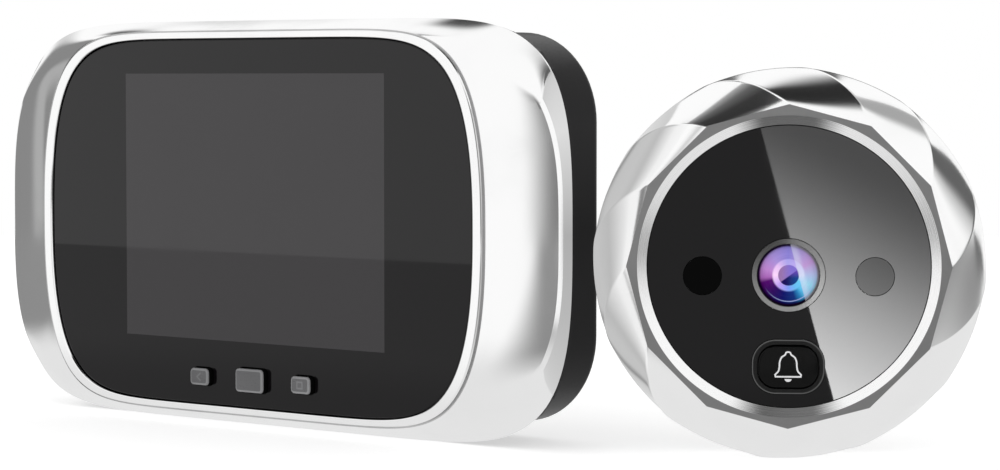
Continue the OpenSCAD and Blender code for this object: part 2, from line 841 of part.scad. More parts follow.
// Four screws that draw the rear housing to the inner frame
module housing_screws() {
    slot_l = 2.2;
    slot_w = 0.5;
    slot_depth = 0.8;
    head_back = head_seat - head_h;
    color("dimgray") upright() four(screw_x, screw_y) difference() {
        union() {
            rod(head_r, head_back, head_seat);
            rod(screw_r, head_back, screw_tip);
        }
        cross_slot(slot_l, slot_w, head_back - cut, head_back + slot_depth);
    }
}

// Stamped steel bracket: a plate with screw holes and a cable window, and four wings stepped forward
module wall_bracket() {
    corner_r = 2;
    wing_front = wing_rise + bracket_t;
    color("lightgray") upright() difference() {
        union() {
            slab(2 * wing_inner, bracket_h, corner_r, 0, bracket_t);
            for (sx = [-1, 1], sy = [-1, 1]) translate([0, sy * wing_y, 0]) {
                translate([sx * (wing_inner - bracket_t / 2), 0, 0]) block(bracket_t, wing_h, 0, wing_front);
                translate([sx * (bracket_w - wing_w - bracket_t) / 2, 0, 0])
                    block(wing_w + bracket_t, wing_h, wing_rise, wing_front);
            }
        }
        for (s = [-1, 1]) translate([s * mount_pitch / 2, 0, 0]) rod(mount_hole_r, -cut, bracket_t + cut);
        slab(cable_w, cable_h, corner_r, -cut, bracket_t + cut);
    }
}

// Camera

// Ring of points of radius r, drawn in between its corners where sides is near 1, and turned by an angle
function facet_radius(r, a) = r * cos(180 / facets) / cos(a - 180 / facets);
function face_ring(r, z, sides = 0, turn = 0) = [
    for (k = [0 : facets * ring_steps - 1])
        let (step = 360 / facets / ring_steps, bearing = 90 + turn + k * step)
        let (radius = r + (facet_radius(r, k % ring_steps * step) - r) * sides)
        [radius * cos(bearing), radius * sin(bearing), z]
];

// Twisted facets: each level is a many-sided ring that widens, falls back, turns and grows rounder
rounding = 0.85;
function twist_ring(t) = face_ring(
    front_ring_r + (camera_r - front_ring_r) * sin(90 * t), camera_h - dome_depth * (1 - cos(90 * t)),
    1 - rounding * pow(t, 3), facet_twist * t);

module twist_bezel() {
    skirt_r = camera_r - back_draw / 4;
    skirt_sides = 0.05;
    color("silver") beside() ring_skin([
        face_ring(face_r + fit, face_back),
        face_ring(face_r + fit, face_front),
        face_ring(bevel_r, camera_h),
        for (i = [0 : twist_levels]) twist_ring(i / twist_levels),
        face_ring(skirt_r, (widest_z + bezel_lift) / 2, skirt_sides, (facet_twist + back_turn) / 2),
        face_ring(camera_r - back_draw, bezel_lift, 0, back_turn),
        face_ring(case_r + fit, bezel_lift, 0, back_turn),
        face_ring(case_r + fit, face_back, 0, back_turn)
    ], ring_steps);
}

// Places on the camera's face
module at_lens() { translate([0, -lens_drop, 0]) children(); }
module at_bell() { translate([0, -bell_drop, 0]) children(); }
module at_sensors() { for (s = [-1, 1]) translate([s * sensor_x, -sensor_drop, 0]) children(); }
module bell_outline(w, h, grow, r, z0, z1) { at_bell() slab(w + 2 * grow, h + 2 * grow, r, z0, z1); }
module surround_hole(z0, z1) {
    bell_outline(surround_outer_w, surround_outer_h, stop_gap, surround_r + stop_gap, z0, z1);
}

// Black glossy face with openings for the lens, the round windows and the bell button
module face_panel() {
    color([0.08, 0.08, 0.09]) beside() difference() {
        rod(face_r, face_back, face_front);
        at_lens() rod(lens_ring_r + stop_gap, face_back - cut, face_front + cut);
        at_sensors() rod(sensor_d / 2 + stop_gap, face_back - cut, face_front + cut);
        surround_hole(face_back - cut, face_front + cut);
    }
}

// Two dark round windows, for the lamp and the light sensor
module sensor_windows() {
    sunk = 0.1;
    color([0.02, 0.02, 0.02]) beside() at_sensors() rod(sensor_d / 2, face_back, face_front - sunk);
}

// Grey ring round the lens
module lens_ring() {
    proud = 0.1;
    color("gray") beside() at_lens() difference() {
        rod(lens_ring_r, face_back, face_front + proud);
        rod(lens_d / 2 + close_fit, face_back - cut, face_front + proud + cut);
    }
}

// Half section of a lens: radius r, height of its edge and rise of its crown
module lens_profile(r, edge, crown) {
    ball = (r * r + crown * crown) / (2 * crown);
    blend = 0.01;
    square([r, edge]);
    intersection() {
        translate([0, edge + crown - ball]) circle(ball, $fn = 360);
        translate([0, edge - blend]) square([r, crown + blend]);
    }
}

// Domed front lens
module front_lens() {
    edge = face_front + lens_rise - lens_crown - lens_seat;
    color([0.3, 0.2, 0.7]) beside() at_lens() translate([0, 0, lens_seat])
        rotate_extrude() lens_profile(lens_d / 2, edge, lens_crown);
}

// Tube that holds both lenses, with an aperture between them
module lens_barrel() {
    aperture_r = 2.6;
    color([0.1, 0.1, 0.1]) beside() at_lens() difference() {
        rod(barrel_r, barrel_back, face_back);
        rod(lens_d / 2 + close_fit, lens_seat, face_back + cut);
        rod(aperture_r, barrel_back - cut, lens_seat + cut);
        rod(inner_lens_r + close_fit, barrel_back - cut, lens_seat - lens_seat_depth);
    }
}

// Rear lens, with its crown against the aperture
module inner_lens() {
    color([0.4, 0.5, 0.8]) beside() at_lens()
        translate([0, 0, lens_seat - lens_seat_depth - inner_lens_t - inner_lens_crown])
            rotate_extrude() lens_profile(inner_lens_r, inner_lens_t, inner_lens_crown);
}

// Square holder that keeps the barrel over the sensor
module lens_holder() {
    holder_w = 13.5;
    holder_r = 1;
    grip = 2;
    color([0.15, 0.15, 0.15]) beside() at_lens() difference() {
        slab(holder_w, holder_w, holder_r, sensor_board_front, barrel_back + grip);
        rod(barrel_r + close_fit, sensor_board_front - cut, barrel_back + grip + cut);
    }
}

// Image sensor on the board under the lens
module image_sensor() {
    sensor_w = 6.4;
    sensor_t = 1;
    color([0.3, 0.35, 0.4]) beside() at_lens()
        block(sensor_w, sensor_w, sensor_board_front, sensor_board_front + sensor_t);
}

// Three places for the case screws
module at_case_screws() { for (a = [90, 210, 330]) rotate(a) translate([case_screw_x, 0, 0]) children(); }

// Round circuit board, notched for the case's posts
module camera_board() {
    color("darkgreen") beside() difference() {
        rod(case_r - case_wall - 2 * fit, sensor_board_back, sensor_board_front);
        at_case_screws() rod(case_post_r + 2 * fit, sensor_board_back - cut, sensor_board_front + cut);
    }
}

// Lamp and light sensor behind the round windows
module ir_leds() {
    lamp_w = 4;
    lamp_base_h = 1.2;
    lamp_gap = 0.6;
    color([0.9, 0.9, 0.95]) beside() at_sensors() {
        block(lamp_w, lamp_w, sensor_board_front, sensor_board_front + lamp_base_h);
        rod(lamp_r, sensor_board_front, face_back - lamp_gap);
    }
}

// Frame round the bell button, with a step that keeps the button in and a flange behind the case's wall
module button_surround() {
    top = face_front + surround_rise;
    step = bell_flange + fit;
    color([0.06, 0.06, 0.07]) beside() difference() {
        union() {
            bell_outline(surround_outer_w, surround_outer_h, 0, surround_r, surround_back, top);
            bell_outline(surround_outer_w, surround_outer_h, surround_flange, surround_r,
                surround_back, front_wall_back);
        }
        bell_outline(bell_w, bell_h, fit, bell_r + fit, surround_back - cut, top + cut);
        bell_outline(bell_w, bell_h, step, bell_r + fit, surround_back - cut, bell_seat + stop_gap);
    }
}

// Bell button: a soft-cornered cap with a retaining flange
module bell_button() {
    edge = 0.3;
    top = face_front + bell_rise;
    color([0.03, 0.03, 0.03]) beside() {
        bell_outline(bell_w, bell_h, bell_flange, bell_r, bell_back, bell_seat);
        bell_outline(bell_w, bell_h, 0, bell_r, bell_back, top - edge);
        bell_outline(bell_w, bell_h, -edge, bell_r - edge, bell_back, top);
    }
}

// Push switch under the bell button
module bell_switch() {
    body_w = 6;
    body_h = 3;
    plunger_r = 1.7;
    color([0.25, 0.25, 0.26]) beside() at_bell() {
        block(body_w, body_w, sensor_board_front, sensor_board_front + body_h);
        rod(plunger_r, sensor_board_front, bell_switch_top);
    }
}

// Black drum: a front wall that carries the face, a ledge for the board and three screw posts
module camera_case() {
    ledge_w = 2;
    ledge_h = 1.4;
    ledge_front = sensor_board_front + ledge_h;
    flange_room = surround_flange + slide;
    pilot_r = case_shank_r + close_fit;
    color([0.13, 0.13, 0.14]) beside() difference() {
        union() {
            difference() {
                rod(case_r, cover_front, face_back);
                rod(case_r - case_wall, cover_front - cut, front_wall_back);
            }
            difference() {
                rod(case_r - case_wall / 2, sensor_board_front, ledge_front);
                rod(case_r - case_wall - ledge_w, sensor_board_front - cut, ledge_front + cut);
            }
            at_case_screws() rod(case_post_r, cover_front, face_back - front_wall_t / 2);
        }
        at_lens() rod(barrel_r + stop_gap, front_wall_back - cut, face_back + cut);
        at_sensors() rod(lamp_r + slide, front_wall_back - cut, face_back + cut);
        surround_hole(front_wall_back - cut, face_back + cut);
        at_bell() block(surround_outer_w + 2 * flange_room, surround_outer_h + 2 * flange_room,
            sensor_board_front, front_wall_back);
        at_case_screws() rod(pilot_r, cover_front - cut, gasket_t + case_shank_l + 2 * slide);
    }
}

// Back cover with the boss that enters the door's hole, pockets for the inserts and the cable's way out
module at_inserts() { for (s = [-1, 1]) translate([s * mount_pitch / 2, 0, 0]) children(); }
module back_cover() {
    insert_front = insert_l - boss_l;
    tip_room = 2;
    slot_r = 1;
    color([0.13, 0.13, 0.14]) beside() difference() {
        union() {
            rod(case_r, gasket_t, cover_front);
            rod(boss_r, -boss_l, cover_front);
        }
        slab(cable_slot_w, cable_slot_h, slot_r, -boss_l - cut, cover_front + cut);
        at_inserts() rod(insert_r + close_fit, -boss_l - cut, insert_front);
        at_inserts() rod(insert_bore_r + slide, -boss_l, insert_front + tip_room);
        at_case_screws() {
            rod(case_shank_r + slide, gasket_t - cut, cover_front + cut);
            rod(case_head_r + slide, gasket_t - cut, gasket_t + stop_gap + case_head_h);
        }
    }
}

// Brass threaded inserts for the two screws that come through the door
module threaded_inserts() {
    color("goldenrod") beside() at_inserts() difference() {
        rod(insert_r, -boss_l, -boss_l + insert_l);
        rod(insert_bore_r, -boss_l - cut, -boss_l + insert_l + cut);
    }
}

// Foam ring between the back cover and the door
module back_gasket() {
    color([0.2, 0.2, 0.2]) beside() difference() {
        rod(gasket_outer_r, 0, gasket_t);
        rod(gasket_inner_r, -cut, gasket_t + cut);
    }
}

// Three screws that hold the back cover
module case_screws() {
    slot_l = 2;
    slot_w = 0.45;
    slot_depth = 0.5;
    head_back = gasket_t + stop_gap;
    color("dimgray") beside() at_case_screws() difference() {
        union() {
            rod(case_head_r, head_back, head_back + case_head_h);
            rod(case_shank_r, head_back, gasket_t + case_shank_l);
        }
        cross_slot(slot_l, slot_w, head_back - cut, head_back + slot_depth);
    }
}

// Rubber grommet in the cable's way out, with a slit for the ribbon
module cable_grommet() {
    flange = 1;
    flange_t = 1;
    slit_end = 1;
    slit_w = cable_slot_w - 2 * slit_end;
    slit_h = 0.8;
    body_r = 0.9;
    color([0.1, 0.1, 0.1]) beside() difference() {
        union() {
            slab(cable_slot_w - 2 * stop_gap, cable_slot_h - 2 * stop_gap, body_r, 0, cover_front);
            slab(cable_slot_w + 2 * flange, cable_slot_h + 2 * flange, body_r + flange,
                cover_front, cover_front + flange_t);
        }
        block(slit_w, slit_h, -cut, cover_front + flange_t + cut);
    }
}

front_bezel();
front_window();
window_tape();
lcd_panel();
lcd_backlight();
front_case();
key_back();
key_power();
key_menu();
key_switches();
main_board();
board_chips();
camera_socket();
speaker();
rear_housing();
battery_cells();
battery_contacts();
battery_door();
housing_screws();
wall_bracket();
twist_bezel();
face_panel();
sensor_windows();
lens_ring();
front_lens();
lens_barrel();
inner_lens();
lens_holder();
image_sensor();
camera_board();
ir_leds();
button_surround();
bell_button();
bell_switch();
camera_case();
back_cover();
threaded_inserts();
back_gasket();
case_screws();
cable_grommet();
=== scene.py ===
# %% [markdown]
# # A door viewer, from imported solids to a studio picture
#
# A digital door viewer comes in two units: an indoor monitor in a winged chrome bezel, and a round
# outdoor camera whose chrome bezel is twisted like a turned jar lid. The solid model already gives
# every piece its size and place. In this lesson we dress it: finer meshes where light would show a
# facet, small signs on the keys, and a procedural finish on each piece. First the solids are loaded.
# They are the frame and never move.

import json
import math

import bmesh
import bpy
import numpy as np
from mathutils import Matrix, Vector
from mathutils.geometry import delaunay_2d_cdt


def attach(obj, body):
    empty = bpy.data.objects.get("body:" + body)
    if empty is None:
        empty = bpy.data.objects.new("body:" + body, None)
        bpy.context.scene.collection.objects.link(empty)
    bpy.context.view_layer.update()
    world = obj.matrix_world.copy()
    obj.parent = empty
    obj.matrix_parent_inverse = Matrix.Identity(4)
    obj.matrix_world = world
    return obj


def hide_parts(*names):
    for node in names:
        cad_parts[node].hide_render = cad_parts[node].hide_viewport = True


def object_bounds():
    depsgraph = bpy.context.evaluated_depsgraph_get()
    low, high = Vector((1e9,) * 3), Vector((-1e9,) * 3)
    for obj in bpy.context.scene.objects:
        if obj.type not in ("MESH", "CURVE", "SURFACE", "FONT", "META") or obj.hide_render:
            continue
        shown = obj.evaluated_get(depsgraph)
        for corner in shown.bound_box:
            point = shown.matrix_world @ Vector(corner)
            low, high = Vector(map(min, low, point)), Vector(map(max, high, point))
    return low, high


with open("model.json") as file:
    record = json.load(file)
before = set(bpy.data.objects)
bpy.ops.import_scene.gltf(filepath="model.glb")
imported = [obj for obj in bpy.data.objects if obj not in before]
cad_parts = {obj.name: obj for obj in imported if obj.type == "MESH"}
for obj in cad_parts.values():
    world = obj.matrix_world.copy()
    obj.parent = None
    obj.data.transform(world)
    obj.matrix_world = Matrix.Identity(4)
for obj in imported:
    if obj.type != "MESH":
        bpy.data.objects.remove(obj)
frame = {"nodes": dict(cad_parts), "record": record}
nodes = frame["nodes"]
cad_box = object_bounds()


def in_mm(box):
    return [[round(1000 * c, 2) for c in corner] for corner in box]


print("CAD box, mm:", in_mm(cad_box))

# %% [markdown]
# ## Two units, two drawing boards
#
# It is easier to draw a bezel lying on a table than standing turned in a room. So each unit gets a
# place: a matrix that takes millimetres on a drawing board (x to the right, y up, z out of the door) to
# metres in the shared frame. The camera's place comes from its mount on the door, so nothing here is
# measured twice.

# %% Places of the two units
MM = 0.001
STAND_UP = Matrix(((1, 0, 0, 0), (0, 0, -1, 0), (0, 1, 0, 0), (0, 0, 0, 1)))
mounts = {mount["name"]: mount for mount in frame["record"]["mounts"]}
camera_seat = Vector(mounts["camera_back"]["pos_m"])
inward = Vector(mounts["camera_back"]["axis"])
camera_turn = math.atan2(-inward.x, inward.y)

monitor_place = Matrix.Scale(MM, 4) @ STAND_UP
camera_place = Matrix.Translation(camera_seat) @ Matrix.Rotation(camera_turn, 4, "Z") @ monitor_place


def drawn_box(name, place):
    """Lowest and highest corner of a solid, in millimetres on its unit's drawing board."""
    to_board = place.inverted()
    points = np.array([to_board @ vertex.co for vertex in nodes[name].data.vertices])
    return points.min(0), points.max(0)


print("camera turned", round(math.degrees(camera_turn), 2), "degrees towards the viewer")

# %% [markdown]
# ## A short way to write nodes
#
# Shaders and geometry trees are built in code here. A field is one output of a node. It can be written
# into a sum as a number can, and each sign then adds a Math node to the tree that the field belongs to.

# %% Fields
MIX_FACTOR, MIX_A, MIX_B, MIX_RESULT = 0, 6, 7, 2


class Field:
    """One output of a node, to be calculated with, eased between limits or used to mix colours."""

    def __init__(self, socket):
        self.socket = socket
        self.tree = socket.id_data

    def math(self, operation, *others):
        return field(self.tree, "ShaderNodeMath", dict(enumerate((self, *others))), operation=operation)

    def __add__(self, other):
        return self.math("ADD", other)

    def __sub__(self, other):
        return self.math("SUBTRACT", other)

    def __mul__(self, other):
        return self.math("MULTIPLY", other)

    __rmul__ = __mul__

    def __truediv__(self, other):
        return self.math("DIVIDE", other)

    def __abs__(self):
        return self.math("ABSOLUTE")

    def remap(self, low, high, to_low=0.0, to_high=1.0, kind="SMOOTHSTEP"):
        """Takes low to to_low and high to to_high, clamped and by default eased at both ends."""
        inputs = {"Value": self, "From Min": low, "From Max": high, "To Min": to_low, "To Max": to_high}
        return field(self.tree, "ShaderNodeMapRange", inputs, interpolation_type=kind)

    def mix(self, first, second):
        """The first colour where the field is nought, the second where it is one."""
        inputs = {MIX_FACTOR: self, MIX_A: first, MIX_B: second}
        return field(self.tree, "ShaderNodeMix", inputs, MIX_RESULT, data_type="RGBA")


# %% Node helpers
def node(tree, kind, inputs=None, **options):
    """Adds a node; inputs maps a socket's name or number to a value or a field."""
    made = tree.nodes.new(kind)
    for key, value in options.items():
        setattr(made, key, value)
    for key, value in (inputs or {}).items():
        if isinstance(value, Field):
            tree.links.new(value.socket, made.inputs[key])
        else:
            made.inputs[key].default_value = value
    return made


def field(tree, kind, inputs=None, output=0, **options):
    """Adds a node and returns one of its outputs."""
    return Field(node(tree, kind, inputs, **options).outputs[output])


def fields(made):
    """All outputs of a node, by name."""
    return {socket.name: Field(socket) for socket in made.outputs}


def axes(whole):
    """The x, y and z of a vector."""
    return fields(node(whole.tree, "ShaderNodeSeparateXYZ", {0: whole})).values()


def vector(*parts):
    """A vector of one, two or three fields."""
    return field(parts[0].tree, "ShaderNodeCombineXYZ", dict(enumerate(parts)))


def feed(shader, **sources):
    """Links fields into a shader; an underscore in a socket's name stands for a space."""
    for label, source in sources.items():
        source.tree.links.new(source.socket, shader.inputs[label.replace("_", " ")])


def grey(value):
    return (value, value, value, 1.0)


print("node helpers ready")

# %% [markdown]
# ## Effects that several finishes share
#
# Moulded plastic has a fine spark-eroded grain and a slow change of tone; polished parts have faint
# rubbing marks that show mostly in their gloss. Both effects are shader node groups, so that each finish
# places the same group with its own scale. The groups put out heights, shades and roughness, and the
# shaders stay outside.


# %% Shader groups
def shader_group(name, inputs, outputs):
    """Empty group that takes a vector and the given numbers: returns it with what it is given."""
    group = bpy.data.node_groups.new(name, "ShaderNodeTree")
    group.interface.new_socket("Vector", in_out="INPUT", socket_type="NodeSocketVector")
    for label, default in inputs.items():
        socket = group.interface.new_socket(label, in_out="INPUT", socket_type="NodeSocketFloat")
        socket.default_value = default
    for label in outputs:
        group.interface.new_socket(label, in_out="OUTPUT", socket_type="NodeSocketFloat")
    return group, fields(group.nodes.new("NodeGroupInput"))


def noise(coords, scale, detail=4.0, roughness=0.55):
    inputs = {"Vector": coords, "Scale": scale, "Detail": detail, "Roughness": roughness}
    return field(coords.tree, "ShaderNodeTexNoise", inputs)


GRAIN_SCALE, SLOW_SHARE = 3000.0, 0.03
NOISE_SPREAD = (0.3, 0.7)
moulded_grain, given = shader_group("moulded_grain", {"Scale": GRAIN_SCALE}, ["Height", "Shade"])
fine = noise(given["Vector"], given["Scale"], detail=5.0, roughness=0.6)
slow = noise(given["Vector"], given["Scale"] * SLOW_SHARE, detail=2.0)
node(moulded_grain, "NodeGroupOutput", {"Height": fine, "Shade": slow.remap(*NOISE_SPREAD)})

RUB_STRETCH, RUB_FINENESS = (1.0, 1.0, 9.0), 7.0
SMUDGE_EDGE, RUBBED_AT = (0.42, 0.75), (0.0, 0.6)
marks_inputs = {"Scale": 60.0, "Smooth": 0.03, "Rubbed": 0.1}
polish_marks, given = shader_group("polish_marks", marks_inputs, ["Roughness", "Mask"])
stretched = field(polish_marks, "ShaderNodeMapping", {"Vector": given["Vector"], "Scale": RUB_STRETCH})
smudge = noise(given["Vector"], given["Scale"], detail=3.0)
rub = noise(stretched, given["Scale"] * RUB_FINENESS, detail=6.0, roughness=0.7)
mask = smudge.remap(*SMUDGE_EDGE) * rub
gloss = mask.remap(*RUBBED_AT, given["Smooth"], given["Rubbed"], "LINEAR")
node(polish_marks, "NodeGroupOutput", {"Roughness": gloss, "Mask": mask})
print("shader groups:", [group.name for group in (moulded_grain, polish_marks)])

# %% [markdown]
# ## Finishes
#
# Every finish is a material of its own around one Principled shader. Colours come from what the piece
# is made of: bright chrome plate, black gloss plastic that the studio shines in, satin housing plastic,
# grey keys. The numbers that are the same all over a piece sit on the shader's sockets; only what
# changes over the surface comes through nodes.


# %% Material helpers
WORN_TONE, RELIEF_STRENGTH = 0.94, 0.6
GLOSS_BELOW, GLOSS_ABOVE = 0.05, 0.06


def object_coords(tree):
    return field(tree, "ShaderNodeTexCoord", output="Object")


def finish(name, **sockets):
    """New material with a Principled shader: returns it, the shader and its Object coordinates."""
    made = bpy.data.materials.new(name)
    made.use_nodes = True
    shader = made.node_tree.nodes["Principled BSDF"]
    for label, value in sockets.items():
        shader.inputs[label.replace("_", " ")].default_value = value
    return made, shader, object_coords(made.node_tree)


def use_group(group, coords, **values):
    """Places a shader group on the given coordinates with its own values."""
    return fields(node(coords.tree, "ShaderNodeGroup", {"Vector": coords, **values}, node_tree=group))


def scaled(colour, factor):
    return tuple(min(1.0, factor * c) for c in colour[:3]) + (1.0,)


def polished(name, colour, metallic, smooth, rubbed, scale=60.0, **sockets):
    """Smooth finish whose gloss carries rubbing marks and whose tone shifts a little with them."""
    made, shader, coords = finish(name, Metallic=metallic, **sockets)
    marks = use_group(polish_marks, coords, Scale=scale, Smooth=smooth, Rubbed=rubbed)
    tone = marks["Mask"].mix(colour, scaled(colour, WORN_TONE))
    feed(shader, Roughness=marks["Roughness"], Base_Color=tone)
    return made


def moulded(name, colour, roughness, scale=GRAIN_SCALE, depth=0.00002, spread=0.25, **sockets):
    """Moulded finish: fine grain in the surface, and a slow change of tone and gloss."""
    made, shader, coords = finish(name, **sockets)
    grain = use_group(moulded_grain, coords, Scale=scale)
    tone = grain["Shade"].mix(colour, scaled(colour, 1 + spread))
    smooth, dull = roughness - GLOSS_BELOW, roughness + GLOSS_ABOVE
    gloss = grain["Height"].remap(*NOISE_SPREAD, smooth, dull, "LINEAR")
    relief = {"Height": grain["Height"], "Distance": depth, "Strength": RELIEF_STRENGTH}
    feed(shader, Base_Color=tone, Roughness=gloss, Normal=field(coords.tree, "ShaderNodeBump", relief))
    return made


# %% Finishes
BLACK_GLOSS = {"metallic": 0.0, "smooth": 0.02, "rubbed": 0.07, "scale": 40.0, "Specular_IOR_Level": 0.24}
KEY_GRAIN = {"scale": 4000.0, "depth": 0.00001}
chrome = polished("chrome", grey(0.96), 1.0, 0.08, 0.17)
chrome_soft = polished("chrome_soft", grey(0.97), 1.0, 0.13, 0.21)
# The groove's darker, duller chrome is painted shade at the lip's foot
chrome_groove_shade = polished("chrome_groove_shade", grey(0.6), 1.0, 0.3, 0.42)
window_black = polished("window_black", (0.003, 0.0025, 0.003, 1), **BLACK_GLOSS)
screen_glass = polished("screen_glass", (0.036, 0.034, 0.036, 1), **BLACK_GLOSS)
housing_black = moulded("housing_black", (0.005, 0.0046, 0.0052, 1), 0.34, Specular_IOR_Level=0.2)
inner_black = moulded("inner_black", (0.012, 0.012, 0.012, 1), 0.5)
key_grey = moulded("key_grey", (0.085, 0.085, 0.088, 1), 0.3, **KEY_GRAIN)
key_sign = moulded("key_sign", (0.14, 0.14, 0.145, 1), 0.4, **KEY_GRAIN)
# Lighter grey on a key's rolled rim is a painted highlight; near-black on its sides is painted shade
key_rim_highlight = moulded("key_rim_highlight", (0.2, 0.2, 0.205, 1), 0.3, **KEY_GRAIN)
key_side_shade = polished("key_side_shade", grey(0.002), 0.0, 0.2, 0.3, Specular_IOR_Level=0.15)
zinc_steel = polished("zinc_steel", grey(0.55), 1.0, 0.28, 0.45, 90.0)
brass = polished("brass", (0.78, 0.57, 0.25, 1), 1.0, 0.2, 0.38, 120.0)
foam = moulded("foam", (0.03, 0.03, 0.031, 1), 0.85, 1500.0, 0.0002)
board_green = moulded("board_green", (0.02, 0.16, 0.07, 1), 0.4, 900.0)
chip_black = moulded("chip_black", (0.02, 0.02, 0.02, 1), 0.5)
white_plastic = moulded("white_plastic", (0.78, 0.78, 0.74, 1), 0.45)
cell_sleeve = polished("cell_sleeve", (0.55, 0.24, 0.03, 1), 0.3, 0.25, 0.4)
print("finishes:", len(bpy.data.materials))

# %% [markdown]
# ## From rings to a mesh
#
# The bezel, the keys and the buttons are all skins over rings of points. A skin is easy to write once:
# join each ring to the next with four-sided faces, then either close the tube on itself or cap both
# ends. Normals are recalculated on the closed skin, and edges sharper than a given angle stay crisp.


# %% Skin and mesh helpers
def skin(rings, closed=False):
    """Points and faces over rings with the same count; a closed skin joins the last ring to the first."""
    count, rows = len(rings[0]), len(rings)
    faces = []
    for i in range(rows if closed else rows - 1):
        low, high = i * count, (i + 1) % rows * count
        for j in range(count):
            k = (j + 1) % count
            faces.append((low + j, low + k, high + k, high + j))
    if not closed:
        faces.append(tuple(range(count)))
        faces.append(tuple(range((rows - 1) * count, rows * count)))
    return np.concatenate(rings), faces


def settle(made, mesh, place, crisp):
    """Writes a shape to its mesh, right side out, smooth but for sharp edges, and stood in its place."""
    bmesh.ops.recalc_face_normals(made, faces=made.faces)
    print(mesh.name, "has", sum(not edge.is_manifold for edge in made.edges), "open edges")
    made.to_mesh(mesh)
    made.free()
    mesh.transform(place)
    mesh.polygons.foreach_set("use_smooth", [True] * len(mesh.polygons))
    mesh.set_sharp_from_angle(angle=math.radians(crisp))


def build_mesh(name, place, parts, crisp=30.0, weld=0.0):
    """One mesh from several (points, faces, material numbers) parts, welded where they meet if asked."""
    made = bmesh.new()
    for points, faces, numbers in parts:
        corners = [made.verts.new(p) for p in points]
        for face, number in zip(faces, np.broadcast_to(numbers, len(faces))):
            made.faces.new([corners[i] for i in face]).material_index = int(number)
    if weld:
        bmesh.ops.remove_doubles(made, verts=made.verts, dist=weld)
    mesh = bpy.data.meshes.new(name)
    settle(made, mesh, place, crisp)
    return mesh


unit_square = np.array([(0, 0, 0), (1, 0, 0), (1, 1, 0), (0, 1, 0)])
print("a cube as a skin has", len(skin([unit_square, unit_square + [0, 0, 1]])[1]), "faces")


# %% Object helpers
def add_object(name, data):
    made = bpy.data.objects.new(name, data)
    bpy.context.scene.collection.objects.link(made)
    return made


def add_piece(name, mesh, materials, body, stands_for):
    """Puts a finished mesh in the scene, riding on its body in place of its solid."""
    piece = add_object(name, mesh)
    for material in materials:
        mesh.materials.append(material)
    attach(piece, body)
    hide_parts(stands_for)
    print(name, "has", len(mesh.polygons), "faces")
    return piece


# %% [markdown]
# ## The bulging outline
#
# The window, the lip, the crease and the rim are the same kind of curve: a superellipse with one power
# along its width and another along its height, so the sides bow and the corners stay soft. Each quarter
# is sampled evenly by length, which keeps the mesh even all the way round.

# %% Outline
QUARTER, FINE_STEPS = 72, 1500
BULGE, CREASE_BULGE = 7.7, 4.4
WINDOW_POWER, RIM_POWER = 2.5, 3.2
CORNER_SHARE = 0.8


def outline(width, height, up_power, side_power=BULGE):
    """Closed ring of points on a superellipse, anticlockwise from the right."""
    a, b = width / 2, height / 2
    y = np.linspace(0, CORNER_SHARE * b, FINE_STEPS)
    side = np.stack([a * (1 - (y / b) ** up_power) ** (1 / side_power), y], -1)
    x = np.linspace(side[-1, 0], 0, FINE_STEPS)
    top = np.stack([x, b * (1 - (x / a) ** side_power) ** (1 / up_power)], -1)
    curve = np.concatenate([side, top[1:]])
    length = np.concatenate([[0], np.cumsum(np.linalg.norm(np.diff(curve, axis=0), axis=1))])
    even = np.linspace(0, length[-1], QUARTER + 1)
    first = np.stack([np.interp(even, length, curve[:, i]) for i in (0, 1)], -1)
    second = (first * [-1, 1])[::-1]
    third = first * [-1, -1]
    fourth = (first * [1, -1])[::-1]
    return np.concatenate([quarter[:-1] for quarter in (first, second, third, fourth)])


def at_height(ring, z, drop=0.0):
    """A flat ring lowered by drop and lifted to z, which may be one height or one for each point."""
    return np.column_stack([ring[:, 0], ring[:, 1] - drop, np.broadcast_to(z, len(ring))])


window_low, window_high = drawn_box("front_window", monitor_place)
bezel_low, bezel_high = drawn_box("front_bezel", monitor_place)
window_w, window_h = (window_high - window_low)[:2]
bezel_w, bezel_h = (bezel_high - bezel_low)[:2]
window_front, window_back = window_high[2], window_low[2]
bezel_drop = -(bezel_high[1] + bezel_low[1]) / 2
print("window", np.round([window_w, window_h], 2), "bezel", np.round([bezel_w, bezel_h], 2))

# %% [markdown]
# ## The chrome bezel of the monitor
#
# The real frame is one plated moulding: a bright lip round the window, a shadow line at the lip's foot,
# two wings that fall back towards the sides, a crease, and a band that rolls over to the widest line. The
# shadow line is painted shade: the strips of the lip's groove get a darker, duller chrome. A subdivided
# cage would round the crease away, so the skin is drawn ring by ring from the same rules as the solid,
# only finer, with a small roll at the lip and a chamfer along the crease so that each edge catches a line
# of light. Towards the top and the foot the crease fades, so there the rings are evened out until the
# fold is gone.

# %% Sizes of the chrome bezel
FIT = 0.15
LIP_SIDE, LIP_TOP, LIP_RISE = 2.0, 1.1, bezel_high[2] - window_front
CREASE_INSET, CREASE_DEPTH, WING_FALL, WING_BOW = 0.15, 3.7, 2.0, 1.6
RIM_DEPTH, RIM_DRAW, BACK_WALL = 5.5, 0.3, 1.7
LEDGE_DEPTH, INSIDE_DEPTH = 2.0, 5.6
FOOT_DEPTH, FOOT_W = 0.2, 0.2
BAND_ROLL, SKIRT_DRAW = 0.3, 0.35
CREASE_GONE, CREASE_FULL = 50.0, 57.0
# Share of the lip's width and share of its rise, from the window outwards
LIP_PROFILE = [(0, 0), (0.02, 0.5), (0.06, 0.85), (0.13, 1), (0.5, 1), (0.86, 1), (0.93, 0.85), (0.98, 0.5)]
# Shares of the way from the lip to the crease and from there to the rim; between them lies the chamfer
WING_SHARES, BAND_SHARES = np.linspace(0.015, 0.955, 26), np.linspace(0.14, 1.0, 12)

